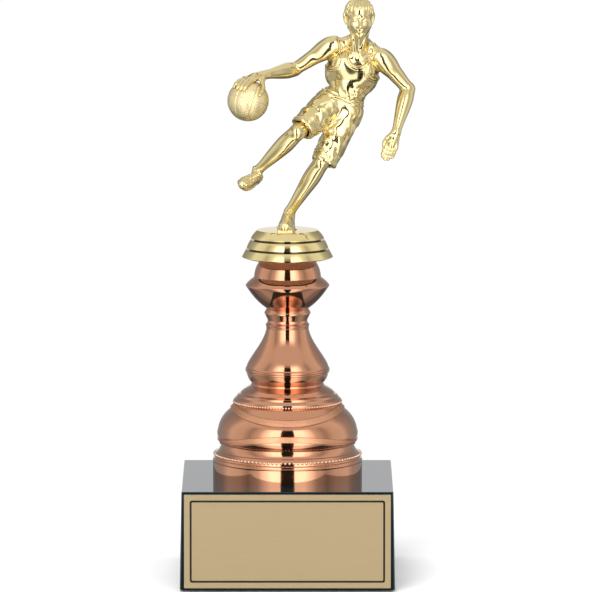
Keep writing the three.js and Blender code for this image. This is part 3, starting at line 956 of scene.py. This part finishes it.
def head():
    clay = Clay((24.5, -24, 256), (43.5, -1, 279.5), 0.14)
    f = HEAD
    clay.lump((0, 0.9, 1.6), (6.3, 7.3, 6.8), 0, f)
    clay.lump((0, -2.6, -2.6), (5.2, 4.9, 5.9), 1.5, f)
    clay.put(bar(f.out((0, -5.0, -7.2)), f.out((0, -5.2, -7.1)), 1.6, 1.6), 1.6)
    for s in (1, -1):
        clay.put(bar(f.out((4.1 * s, -0.4, -4.6)), f.out((1.0 * s, -5.2, -7.3)), 1.5, 1.4), 1.6)
        clay.lump((3.0 * s, -4.1, -2.4), (2.3, 1.5, 2.2), 2.6, f)
        clay.put(bar(f.out((1.3 * s, -6.25, 1.3)), f.out((3.9 * s, -5.15, 1.25)), 0.55, 0.45), 1.3)
        clay.cut(egg((2.55 * s, -7.9, -0.05), (1.75, 1.5, 0.95), f), 0.7)
        clay.lump((2.5 * s, -5.75, -0.1), (1.3, 1.25, 1.0), 0.25, f)
        clay.cut(tube([f.row(1.25 * s, -6.6, 0.0, 0.12), f.row(2.4 * s, -7.1, 0.2, 0.14),
                       f.row(3.6 * s, -6.4, -0.15, 0.12)]), 0.15)
    nose = [f.row(0, -6.3, 1.1, 0.6), f.row(0, -7.2, -0.6, 0.6), f.row(0, -8.5, -2.7, 0.85)]
    clay.roll(nose, 0.6)
    for s in (1, -1):
        clay.lump((0.95 * s, -7.4, -3.1), (0.7, 0.9, 0.6), 0.5, f)
        clay.cut(egg((0.5 * s, -8.0, -3.75), (0.28, 0.5, 0.25), f), 0.2)
        clay.lump((0.6 * s, -7.15, -4.65), (1.05, 0.6, 0.42), 0.35, f)
    clay.lump((0, -7.1, -5.55), (1.3, 0.65, 0.5), 0.35, f)
    clay.cut(tube([f.row(-1.75, -6.9, -5.1, 0.1), f.row(0, -7.75, -5.05, 0.14),
                   f.row(1.75, -6.9, -5.1, 0.1)]), 0.2)
    clay.cut(egg((0, -7.4, -6.5), (1.2, 0.5, 0.4), f), 0.5)
    clay.lump((0, -6.5, -7.5), (1.2, 0.8, 0.8), 0.7, f)
    clay.soften(3)
    hair(clay)
    for s in (1, -1):
        clay.roll([f.row(6.9 * s, 1.2, 1.5, 0.75), f.row(6.75 * s, 0.9, -0.6, 0.8),
                   f.row(6.0 * s, 0.2, -2.9, 0.7)], 0.5)
        clay.cut(egg((7.5 * s, 0.3, -0.3), (0.5, 0.7, 1.2), f), 0.3)
    return clay


def neck():
    """The neck and the skin inside the neckline, with the two long neck muscles and the collar bones."""
    clay = Clay((16, -16, 238), (48, 8, 264), 0.18)
    f, t = HEAD, TRUNK
    trunk_masses(clay)
    clay.roll([t.row(0.3, 1.0, 18, 5.8), t.row(0.3, 0.6, 24.5, 4.8), f.row(0, 1.2, -7.2, 4.4),
               f.row(0, 1.4, -4, 4.6)], 1.4)
    for s in (1, -1):
        clay.roll([f.row(4.4 * s, 1.8, -4.6, 1.0), f.row(3.6 * s, -0.6, -8.2, 1.1),
                   t.row(1.5 * s, -4.0, 22.0, 0.8)], 1.4)
        collar_bone(clay, s)
    clay.roll([f.row(0, -2.4, -8.4, 1.2), t.row(0.2, -3.8, 24.2, 1.0)], 1.0)
    clay.cut(egg((0.2, -6.4, 21.4), (0.9, 1.0, 0.8), t), 0.8)
    u, v, w = clay.coordinates(t)
    clay.field += 0.9 * np.clip(-neck_opening(u, v, w) - 0.3, 0, 3)
    clay.field = np.maximum(clay.field, np.abs(u - 0.2) - 8.6)
    clay.keep(half(t.out((0, 0, 12)), -t.axes[2]), 0.2)
    clay.soften(2)
    return clay


def collar_bone(clay, s):
    t = TRUNK
    clay.roll([t.row(1.6 * s, -3.9, 20.6, 0.7), t.row(5.5 * s, -2.4, 21.8, 0.7),
               t.row(9.5 * s, -0.4, 22.0, 0.8)], 2.0)


def hair(clay):
    """Short hair combed from the crown in strands, standing a little proud of the skull."""
    f = HEAD
    crown = (0, 2.4, 8.2)

    def cap(x, y, z):
        u, v, w = f.into(x, y, z)
        a = np.sqrt((u / 7.05) ** 2 + ((v - 1.2) / 7.9) ** 2 + ((w - 2.0) / 7.2) ** 2)
        skin = (a - 1) * 7.2
        turn = np.arctan2(u, -(v - crown[1]))
        far = np.sqrt(u ** 2 + (v - crown[1]) ** 2 + (w - crown[2]) ** 2)
        strand = np.abs(np.sin(13 * turn + 0.35 * far + 0.8 * np.sin(3.1 * turn + 0.5 * far)))
        fine = np.abs(np.sin(31 * turn - 0.3 * far))
        skin = skin + fade(far, 15, 17) * (0.42 * (1 - strand) ** 1.5 + 0.12 * (1 - fine) - 0.1)
        front = np.clip((-v - 1.5) / 4.5, 0, 1)
        back = np.clip((v - 2.6) / 2.0, 0, 1)
        fringe = 0.6 * np.sin(2.1 * u + 0.6) + 0.35 * np.sin(4.7 * u)
        edge = 0.6 + 4.8 * front + 0.5 * front * fringe - 5.7 * back
        skin = skin + 0.5 * np.exp(-np.clip(w - edge, 0, 9) / 0.8)
        return soft_max(skin, 0.85 * (edge - w), 0.5).astype(np.float32)

    centre = f.out((0, 1, 2))
    clay.put((cap, centre - 9, centre + 9), 0.12)


def arm(clay, shoulder, elbow, wrist, bend, size):
    """Shoulder, upper arm and forearm with their muscles; bend points to the inside of the elbow."""
    a, e, w, bend = (np.asarray(p, float) for p in (shoulder, elbow, wrist, bend))
    bend = unit(bend)
    side = unit(np.cross(e - a, bend))

    def muscle(start, end, rows, blend):
        """Rows of: share of the way, inwards, across, radius."""
        clay.roll([[*(start + (end - start) * t + bend * i + side * c), r * size]
                   for t, i, c, r in rows], blend)

    muscle(a, e, [(0, 0, 0, 3.9), (0.45, 0, 0, 3.2), (0.85, 0, 0, 2.7), (1, 0, 0, 2.7)], 1)
    muscle(a, e, [(-0.12, 0, 0, 3.4), (0.15, 0, 0, 4.0), (0.45, 0, 0, 2.4)], 1.2)
    muscle(a, e, [(0.3, 1.0, 0, 1.5), (0.58, 1.5, 0, 2.1), (0.9, 0.8, 0, 1.1)], 0.9)
    muscle(a, e, [(0.2, -1.2, 0, 1.6), (0.5, -1.5, 0, 2.2), (0.85, -0.7, 0, 1.3)], 0.9)
    muscle(e, w, [(0, 0, 0, 2.7), (0.2, 0, 0, 3.2), (0.45, 0, 0, 2.9), (0.8, 0, 0, 2.1), (1, 0, 0, 1.85)], 1)
    muscle(e, w, [(-0.12, 0.5, 0.9, 1.2), (0.18, 0.6, 1.3, 2.0), (0.6, 0.2, 0.5, 1.2)], 0.8)
    muscle(e, w, [(0.05, 0, -1.1, 1.5), (0.3, 0, -1.2, 1.7), (0.7, 0, -0.5, 1.1)], 0.8)
    muscle(e, w, [(-0.03, -1.4, 0, 1.5), (0.1, -1.2, 0, 1.3)], 0.9)


def chest_side(clay, s):
    """The side of the chest that shows inside an armhole."""
    trunk_masses(clay)
    collar_bone(clay, s)


def trim_side(clay, s):
    """Ends an arm's piece inside the trunk."""
    u, v, w = clay.coordinates(TRUNK)
    clay.field += 0.9 * np.clip(-armhole(u, v, w) - 0.3, 0, 3) * (s * u < 11.5) * (w > 5)
    clay.field = np.maximum(clay.field, 6.0 - s * u)
    clay.field = np.maximum(clay.field, np.minimum(8.0 - w, 12.2 - s * u))


def finger(clay, points, radius, blend=0.35):
    """Three bones with slightly thicker joints."""
    rows = [[*p, radius * k] for p, k in zip(points, (1.12, 1.06, 0.98, 0.86))]
    clay.roll(rows, blend, steps=8)
    for p in points[1:3]:
        clay.lump(p, (radius * 1.1,) * 3, 0.5)


def right_arm():
    clay = Clay((-31, -29, 226), (29, 11, 263), 0.18)
    wrist = np.array((-10.4, -12, 241.3))
    chest_side(clay, -1)
    arm(clay, (20.2, -3, 253.8), (3.3, -1.2, 242.7), wrist, (-0.2, -1, 0.45), 1.17)
    trim_side(clay, -1)
    palm = np.array((-15.6, -16.2, 240.8))
    clay.roll([[*wrist, 2.0], [*(wrist + palm) / 2, 2.1], [*palm, 1.7]], 0.8)
    across = unit((-0.25, 0.94, -0.1))
    centre = np.array(BALL)
    reach = BALL_R + 0.6
    tips = [(-2.1, -8.9, 6.2), (-3.9, -8.0, 6.5), (-5.4, -6.6, 6.8), (-6.8, -4.4, 7.1)]
    knuckles = [(1.4, -4.2, 10.0), (0.2, -2.8, 10.6), (-0.9, -1.0, 10.8), (-1.9, 0.9, 10.6)]
    for tip, knuckle in zip(tips, knuckles):
        k, t = unit(knuckle), unit(tip)
        run = [centre + reach * unit(k * (1 - s) + t * s) for s in (0, 0.4, 0.72, 1)]
        finger(clay, run, 0.92)
        clay.put(bar(palm + across * (0.25 * (np.array(run[0]) - palm).dot(across)), run[0], 1.6, 1.05), 0.8)
        clay.put(bar(wrist, run[0], 1.4, 0.95), 0.9)
    thumb = [centre + (BALL_R + r) * unit(p) for r, *p in
             ((1.6, 6.2, -1.5, 8.4), (0.9, 7.2, -4.6, 6.6), (0.75, 6.6, -6.6, 5.0), (0.7, 5.6, -8.2, 3.4))]
    clay.put(bar(wrist + (-0.6, -0.6, 0), thumb[0], 1.5, 1.25), 0.8)
    finger(clay, thumb, 0.98)
    clay.cut(egg(BALL, (BALL_R - 0.05,) * 3), 0.1)
    clay.soften(3)
    return clay


def left_arm():
    clay = Clay((29, -22, 196), (64, 11, 259), 0.18)
    wrist = np.array((51.5, -12, 214.2))
    chest_side(clay, 1)
    arm(clay, (45.5, -3.6, 247.6), (57.2, -1.2, 233.4), wrist, (-0.75, -0.65, 0.2), 1.2)
    trim_side(clay, 1)
    palm = np.array((49.2, -13.2, 208.0))
    down = unit(palm - wrist)
    over = unit(np.cross(down, (0, -1, 0)))  # from the thumb's side to the little finger's
    over = over if over[0] > 0 else -over
    front = np.cross(over, down)
    front = front if front[1] < 0 else -front
    clay.roll([[*wrist, 2.0], [*(wrist + down * 2.5), 2.0], [*palm, 1.9]], 0.8)
    for i, place in enumerate((-1.5, -0.5, 0.5, 1.5)):
        root = palm + over * (1.7 * place) + down * (0.9 - 0.25 * abs(place)) - front * 0.1
        clay.put(bar(wrist + over * 0.5 * place, root, 1.3, 1.1), 0.8)
        length = (6.2, 6.8, 6.5, 5.5)[i]
        curl = (0.08, 0.12, 0.17, 0.22)[i]
        run = [root]
        angle = 0.12
        for share in (0.45, 0.32, 0.25):
            angle += curl
            step = down * math.cos(angle) + front * math.sin(angle) * 0.75 - over * 0.04 * place
            run.append(run[-1] + unit(step) * length * share)
        finger(clay, run, 0.95 if i < 3 else 0.86)
    base = wrist + down * 1.6 - over * 1.4 + front * 0.6
    thumb = [base + down * a - over * b + front * c for a, b, c in
             ((0, 0, 0), (2.6, 1.5, 1.0), (4.9, 2.2, 1.7), (6.9, 2.1, 2.2))]
    clay.put(bar(wrist, thumb[1], 1.5, 1.1), 0.8)
    finger(clay, thumb, 0.98)
    clay.soften(3)
    return clay


def armhole(u, v, w):
    """How far a place in the trunk's frame is past the jersey's edge at the arms."""
    return soft_min(np.abs(u + 0.3) - 8.3 - 0.03 * (w - 17.5) ** 2, w - 12.0 - 0.1 * np.abs(v), 3.0)


def neck_opening(u, v, w):
    """How far a place in the trunk's frame is inside the jersey's neckline."""
    depth = 2.2 + 5.2 * fade(v, -1.5, 3.5)
    return 5.2 * (1 - np.sqrt(((u - 1.2) / 5.4) ** 2 + (np.maximum(24.6 - w, 0) / depth) ** 2))


def trunk_masses(clay):
    t = TRUNK
    clay.lump((0, 0.4, 12.4), (11.6, 7.5, 10.4), 0, t)
    clay.lump((0.2, 0.1, 2.6), (8.7, 6.7, 8.5), 2.5, t)
    clay.lump((0, -2.5, 4.2), (6.4, 4.6, 7.4), 2.0, t)
    for s in (1, -1):
        clay.lump((4.5 * s, -3.7, 14.6), (6.0, 3.4, 5.0), 2.4, t)
        clay.lump((8.9 * s, 1.4, 11), (3.6, 4.8, 7.6), 2.0, t)
        clay.lump((5.2 * s, 5.0, 15.2), (4.6, 2.8, 5.6), 2.0, t)
        clay.roll([t.row(3.4 * s, 1.8, 26.4, 2.6), t.row(7.2 * s, 1.0, 23.8, 2.8),
                   t.row(11.5 * s, 0.4, 21.0, 3.5)], 1.8)
    clay.cut(bar(t.out((0, 9.4, 4)), t.out((0, 9.6, 20)), 1.6, 1.4), 1.6)


def jersey():
    """The sleeveless top: cloth a little off the body, with raised trims around the neck and arms."""
    t = TRUNK
    clay = Clay((13, -14, 222), (53, 13, 262), 0.18)
    trunk_masses(clay)

    def drape(x, y, z):
        u, v, w = t.into(x, y, z)
        low = fade(w, 2, 11)
        pulls = np.sin(1.15 * u + 0.55 * w + 0.9 * np.sin(0.35 * w + 0.3 * v)) * low
        return 0.4 + 0.12 * low * waves(u, v, w, 7, 6.5) + 0.1 * pulls

    clay.shift(drape, t.origin - 30, t.origin + 40)
    edges = clay_edges(clay)
    for edge in edges:
        clay.field -= ridges(edge, ((-0.75, 0.5, 0.42), (-1.9, 0.3, 0.16)))
    for edge in edges:
        clay.field = soft_max(clay.field, edge, 0.25)
    clay.keep(half(t.out((0, 0, -3.6)), (-0.3, 0, -1)), 0.2)
    return clay


def clay_edges(clay):
    """How far each place is past the cloth's edge, along its surface: at the arms, and at the neck."""
    u, v, w = clay.coordinates(TRUNK)
    normal = np.stack(np.gradient(clay.field, clay.step))
    normal /= np.maximum(np.linalg.norm(normal, axis=0), 1e-6)
    edges = []
    for edge in (armhole(u, v, w), neck_opening(u, v, w)):
        slope = np.stack(np.gradient(edge, clay.step))
        slope -= normal * (slope * normal).sum(0)
        edges.append((edge / np.clip(np.linalg.norm(slope, axis=0), 0.25, 3)).astype(np.float32))
    return edges


HEMS = {
    "right": ((20.2, -1.2, 226.0), 8.3, (6.7, -12.0, 215.6), 5.7),
    "left": ((28.7, -0.6, 222.6), 7.5, (17.1, -7.6, 198.6), 5.8),
}


def shorts():
    """Loose shorts: a waistband of two rolls, long folds from the crotch, and open hems."""
    clay = Clay((-2, -23, 190), (44, 14, 240), 0.235)
    clay.lump((26.0, -0.2, 225.4), (9.4, 7.6, 7.0), 0)
    clay.lump((22.4, 3.2, 222.4), (6.0, 5.6, 6.4), 2.0)
    clay.lump((28.8, 3.4, 220.4), (5.6, 5.6, 6.4), 2.0)
    for hip, ra, hem, rb in HEMS.values():
        hip, hem = np.array(hip), np.array(hem)
        middle = hip * 0.5 + hem * 0.5
        past = hem + unit(hem - hip) * 3
        bulge = (ra + rb) / 2 + 0.2
        clay.roll([[*hip, ra], [*middle, bulge], [*past, rb]], 1.4)
    crotch = np.array((17.6, -2.5, 213.6))
    band_centre = np.array((27.2, -0.5, 229.5))
    up = unit((0.40, -0.06, 0.92))

    def folds(x, y, z):
        far = apart(x, y, z, crotch)
        turn = np.arctan2(z - crotch[2], x - crotch[0])
        rays = np.sin(6 * turn + 0.9 * np.sin(0.3 * far) + 0.2 * (y - crotch[1])) * fade(far, 4, 17)
        small = waves(x, y, z, 3, 5.0)
        big = waves(x, y, z, 11, 13.0)
        crease = 1 - 2 * np.abs(waves(x, y, z, 5, 9.0))
        inner = fade(np.sqrt((x - 16) ** 2 + (y + 8) ** 2 + 0.15 * (z - 208) ** 2), 4, 9)
        below = fade(along(x, y, z, band_centre, up), -5.5, -2.6)
        return below * (0.3 * rays + 0.3 * inner * small + 0.26 * big + (0.05 + 0.16 * inner) * crease)

    def band(x, y, z):
        return ridges(along(x, y, z, band_centre, up),
                      ((1.2, 0.55, 0.38), (-0.3, 0.5, 0.38), (-1.3, 0.35, -0.2)))

    clay.shift(folds, (0, -22, 192), (42, 12, 231))
    for hip, _, hem, radius in HEMS.values():
        hem_cut(clay, np.array(hem), unit(np.array(hem) - hip), radius)
    clay.put(waist_ring(band_centre, up), 1.5)
    clay.shift(band, band_centre - 16, band_centre + 16)
    clay.keep(half(band_centre + up * 2.6, up), 0.3)
    return clay


def waist_ring(centre, up):
    """The top of the shorts: an oval block under the waistband."""
    f = Frame(centre, up, (1, 0, 0))

    def distance(x, y, z):
        u, v, w = f.into(x, y, z)
        a = (np.sqrt((u / 8.9) ** 2 + (v / 7.2) ** 2) - 1) * 8
        return np.maximum(a, np.abs(w) - 3.4).astype(np.float32)

    return distance, centre - 12, centre + 12


def hem_cut(clay, hem, away, radius):
    """Cuts a trouser leg off square at its hem and hollows it a little way up."""
    def roll(x, y, z):
        return ridges(along(x, y, z, hem, away), ((-0.9, 0.5, 0.28),))

    low, high = hem - radius - 3, hem + radius + 3
    clay.shift(roll, low, high)
    part, (x, y, z) = clay.near(low, high)
    beyond = (along(x, y, z, hem, away) + 0.35 * waves(x, y, z, 21, 7.0)).astype(np.float32)
    cut = soft_max(clay.field[part], beyond, 0.3)
    clay.field[part] = np.where(apart(x, y, z, hem) < radius + 4.5, cut, clay.field[part])
    clay.cut(bar(hem - away * 4, hem + away * 6, radius - 1.6, radius - 0.5), 0.4)


def leg(clay, hip, knee, ankle, calf_out, knee_r, calf_r, ankle_r):
    """Knee, calf and shin down to the ankle; calf_out points to the back of the calf."""
    k, a = np.asarray(knee, float), np.asarray(ankle, float)
    run, out = a - k, unit(calf_out)
    clay.roll([[*k, knee_r], [*(k + run * 0.3), calf_r * 0.93], [*(k + run * 0.6), calf_r * 0.76],
               [*(k + run * 0.88), ankle_r], [*a, ankle_r * 1.02]], 1)
    side = unit(np.cross(run, out))
    for s in (1, -1):
        clay.roll([[*(k + run * 0.08 + out * 0.8 + side * s * 0.8), 1.6],
                   [*(k + run * 0.3 + out * 1.5 + side * s * 1.15), 2.3],
                   [*(k + run * 0.62 + out * 0.9 + side * s * 0.4), 1.2]], 1.0)
    clay.roll([[*(k - out * 1.7 - run * 0.03), 1.7], [*(k - out * 1.0 + run * 0.2), 1.4],
               [*(k - out * 0.7 + run * 0.6), 0.9], [*(a - out * 0.4), 0.9]], 0.9)
    clay.lump(k - out * 2.0, (2.1, 2.1, 2.3), 1.0)
    clay.put(bar(k, k + (np.asarray(hip) - k) * 0.4, knee_r * 1.02, knee_r * 1.22), 1.0)
    clay.soften(5)


def right_leg():
    clay = Clay((-24, -24, 188), (14, 5, 224), 0.2)
    leg(clay, HEMS["right"][0], (4.6, -12.6, 214.0), (-14.0, -2.2, 194.7), (0.35, 0.9, -0.3), 3.8, 4.6, 2.5)
    return clay


def left_leg():
    clay = Clay((-8, -18, 168), (24, 9, 207), 0.2)
    leg(clay, HEMS["left"][0], (16.1, -8.4, 199.3), (1.2, 1.0, 174.8), (0.45, 0.8, 0.1), 3.8, 4.5, 2.7)
    return clay


def shoe(clay, ankle, heel, toe, up, width):
    """A laced high trainer: upper, toe cap, thick sole and a collar around the ankle."""
    ankle, heel, toe = (np.asarray(p, float) for p in (ankle, heel, toe))
    f = Frame(heel, up, toe - heel)  # x towards the toe, y across, z up
    length = float(np.linalg.norm(toe - heel))
    low, high = np.minimum(heel, toe), np.maximum(heel, toe)

    def at(x, y, z, radius):
        """A tube's row: x in shoe lengths, y and the radius in widths, z in mm."""
        return f.row(x * length, y * width, z, radius * width)

    instep = at(0.2, 0, 3, 0.42)
    collar = ankle + unit(ankle - instep[:3]) * 0.6
    clay.roll([at(0.16, 0, 2.4, 0.36), at(0.42, 0, 2.4, 0.42), at(0.74, 0.02, 1.9, 0.47),
               at(0.93, 0, 1.6, 0.40)], 1.2)
    clay.roll([instep, [*ankle, 0.39 * width], [*collar, 0.385 * width]], 1.6)
    clay.roll([at(0.3, 0, 5, 0.3), at(0.6, 0, 3.4, 0.32)], 1.4)

    def sole(x, y, z):
        u, v, w = f.into(x, y, z)
        s = np.clip(u / length, 0, 1)
        half_width = width * (0.40 + 0.13 * np.sin(math.pi * np.clip((s - 0.25) / 0.85, 0, 1)) - 0.02 * s)
        across = np.abs(v) - half_width
        near_toe = (np.maximum(u - (length - half_width), 0) ** 4 + v ** 4) ** 0.25 - half_width
        near_heel = np.sqrt(np.maximum(half_width * 0.9 - u, 0) ** 2 + v ** 2) - half_width
        edge = np.maximum(np.maximum(across, near_toe), near_heel)
        flutes = 0.09 * np.sin(5.2 * u)
        return np.maximum(edge + flutes - 0.25, np.abs(w - 0.85) - 0.85).astype(np.float32)

    clay.put((sole, low - width, high + width), 0.2)

    def lacing(x, y, z):
        u, v, w = f.into(x, y, z)
        s = u / length
        on_top = fade(np.abs(v) / width, 0.16, 0.24) * fade(np.abs(s - 0.52), 0.2, 0.27) * (w > 2.6)
        laces = 0.26 * np.abs(np.sin(2.3 * u + 1.3 * np.abs(v))) ** 3
        wrinkles = 0.13 * waves(u, v, w, 31, 2.6) * (w > 1.9)
        return on_top * laces + wrinkles

    clay.shift(lacing, np.minimum(low, ankle) - 6, np.maximum(high, ankle) + 6)
    part, (x, y, z) = clay.near(low - 8, high + 8)
    clay.field[part] = np.maximum(clay.field[part], -f.into(x, y, z)[2])  # flat underneath


def right_shoe():
    clay = Clay((-29, -21, 177), (-5, 9, 203), 0.16)
    shoe(clay, (-14.4, -2.0, 194.2), (-14.6, 2.2, 190.0), (-22.9, -9.0, 186.9), (0.55, -0.5, 0.66), 6.4)
    return clay


def left_shoe():
    clay = Clay((-10, -19, 164), (10, 11, 182), 0.16)
    shoe(clay, (0.9, 1.6, 173.6), (0.6, 6.4, 167.0), (-1.4, -12.4, 167.0), (0, 0, 1), 7.4)
    return clay


def sole_block():
    """The fluted block that joins the standing shoe to the disc."""
    clay = Clay((-8, -16, 164.5), (8, 10, 169), 0.16)

    def block(x, y, z):
        run = np.clip((y + 11.0) / 15.5, 0, 1)
        half_width = 3.5 + 0.5 * np.sin(math.pi * (1 - run)) + 0.16 * np.sin(4.4 * y)
        ends = np.maximum(-(y + 13.2), y - 7.2)
        side = np.maximum(np.abs(x + 0.3 - 0.06 * y) - half_width, ends + 0.12 * np.sin(4.4 * x))
        return np.maximum(side, np.abs(z - 166.4) - 1.0).astype(np.float32)

    clay.put((block, np.array((-8.0, -16, 165)), np.array((8.0, 10, 168))), 0)
    return clay


def player():
    """The player: separate pieces that meet at the edges of the clothes and shoes."""
    pieces = {"head": head, "neck": neck, "jersey": jersey, "arm_right": right_arm, "arm_left": left_arm,
              "shorts": shorts, "leg_right": right_leg, "leg_left": left_leg, "shoe_right": right_shoe,
              "shoe_left": left_shoe, "sole_block": sole_block}
    for name, work in pieces.items():
        finished(work().mesh(f"player_{name}"), FIGURE, "gold_mirror", "player")


# ---------------------------------------------------------------- room, light and camera

TARGET = Vector((0.00405, 0.0, 0.1342))
ELEVATION = math.radians(7.5)
DISTANCE = 3.6
VIEW_WIDTH = 0.2819  # how much the picture takes in at the trophy's axis


def floor():
    """A pale round floor, kept out of the polished pieces' reflections."""
    radius, height, sides = 300, -0.02, 96
    turns = np.linspace(0, 2 * math.pi, sides, endpoint=False)
    points = [(0, 0, height)] + [(radius * math.cos(t), radius * math.sin(t), height) for t in turns]
    made = solid("floor", points, [[0, i + 1, (i + 1) % sides + 1] for i in range(sides)])
    made.data.materials.append(look("floor", ((60, 2), (0.85, 0.85, 0.85), (0.88, 0.88, 0.88)), 0.7))
    made.visible_glossy = False


def add(tree, kind, *inputs, **settings):
    """A world node; inputs are numbers or (node, output) pairs, in socket order."""
    made = tree.nodes.new(kind)
    for key, value in settings.items():
        setattr(made, key, value)
    for socket, value in zip(made.inputs, inputs):
        if isinstance(value, tuple):
            tree.links.new(value[0].outputs[value[1]], socket)
        elif value is not None:
            socket.default_value = value
    return made


# The light tent around the trophy: brightness by the angle away from the front, in degrees.
TENT = ((0, 0.03), (10, 0.03), (11.5, 3.2), (26, 3.2), (46, 1.05), (64, 0.55), (80, 0.9), (104, 1.0),
        (120, 0.55), (146, 0.34), (166, 0.34), (171, 0.92), (180, 0.92))
TENT_PEAK = max(brightness for degrees, brightness in TENT)
ROOF, BACKDROP = 0.95, 1.02


def tent():
    """The world as a light tent. The camera sees an even white backdrop instead."""
    world = bpy.data.worlds.new("tent")
    bpy.context.scene.world = world
    world.use_nodes = True
    tree = world.node_tree

    def calculate(operation, *inputs):
        return add(tree, "ShaderNodeMath", *inputs, operation=operation), 0

    def spread(value, *ends, curve="LINEAR"):
        return add(tree, "ShaderNodeMapRange", value, *ends, interpolation_type=curve), 0

    at = add(tree, "ShaderNodeTexCoord")
    split = add(tree, "ShaderNodeSeparateXYZ", (at, "Generated"))
    behind = calculate("ARCTAN2", (split, 0), calculate("MULTIPLY", (split, 1), -1.0))
    angle = calculate("DIVIDE", calculate("ABSOLUTE", behind), math.pi)
    ramp = add(tree, "ShaderNodeValToRGB", angle)
    set_stops(ramp, [(degrees / 180, 3 * (value / TENT_PEAK,)) for degrees, value in TENT])
    walls = calculate("MULTIPLY", (ramp, 0), TENT_PEAK)
    # The tent's roof is an even bright sheet, and its walls fade into it.
    up = spread((split, 2), 0.62, 0.82, 0.0, 1.0, curve="SMOOTHSTEP")
    walls_left = calculate("MULTIPLY", walls, calculate("SUBTRACT", 1.0, up))
    upper = calculate("ADD", walls_left, calculate("MULTIPLY", up, ROOF))
    # The tent ends a little below the horizon; under it the room is dimmer, and dark at the back.
    rear = spread(angle, 0.72, 0.79, 0.6, 0.34)
    foot = spread((split, 2), -0.40, -0.30, rear, 1.0, curve="SMOOTHSTEP")
    light = calculate("MULTIPLY", upper, foot)
    seen = add(tree, "ShaderNodeLightPath"), "Is Camera Ray"
    mixed = add(tree, "ShaderNodeMix", seen, None, light, BACKDROP, data_type="FLOAT")
    tree.links.new(mixed.outputs[0], tree.nodes["Background"].inputs["Color"])


def lamp(name, place_at, size, power):
    """A large soft lamp; the polished pieces reflect the tent and not the lamp itself."""
    data = bpy.data.lights.new(name, "AREA")
    data.shape, data.size, data.energy = "DISK", size, power
    made = added(name, data)
    made.location = place_at
    made.visible_glossy = False
    made.rotation_euler = (TARGET - Vector(place_at)).to_track_quat("-Z", "Y").to_euler()


def camera():
    data = bpy.data.cameras.new("camera")
    made = added("camera", data)
    away = Vector((0, -math.cos(ELEVATION), math.sin(ELEVATION)))
    made.location = TARGET + away * DISTANCE
    made.rotation_euler = (-away).to_track_quat("-Z", "Y").to_euler()
    data.sensor_width = 36
    data.lens = 36 * DISTANCE / VIEW_WIDTH
    bpy.context.scene.camera = made


# ---------------------------------------------------------------- everything in place

FINISHES = make_finishes()
riser()
disc()
fasteners()
base()
plate()
carried_over()
ball()
player()
floor()
tent()
lamp("key", (-0.3, -1.3, 2.0), 1.4, 38)
camera()
bpy.context.scene.view_settings.view_transform = "Standard"
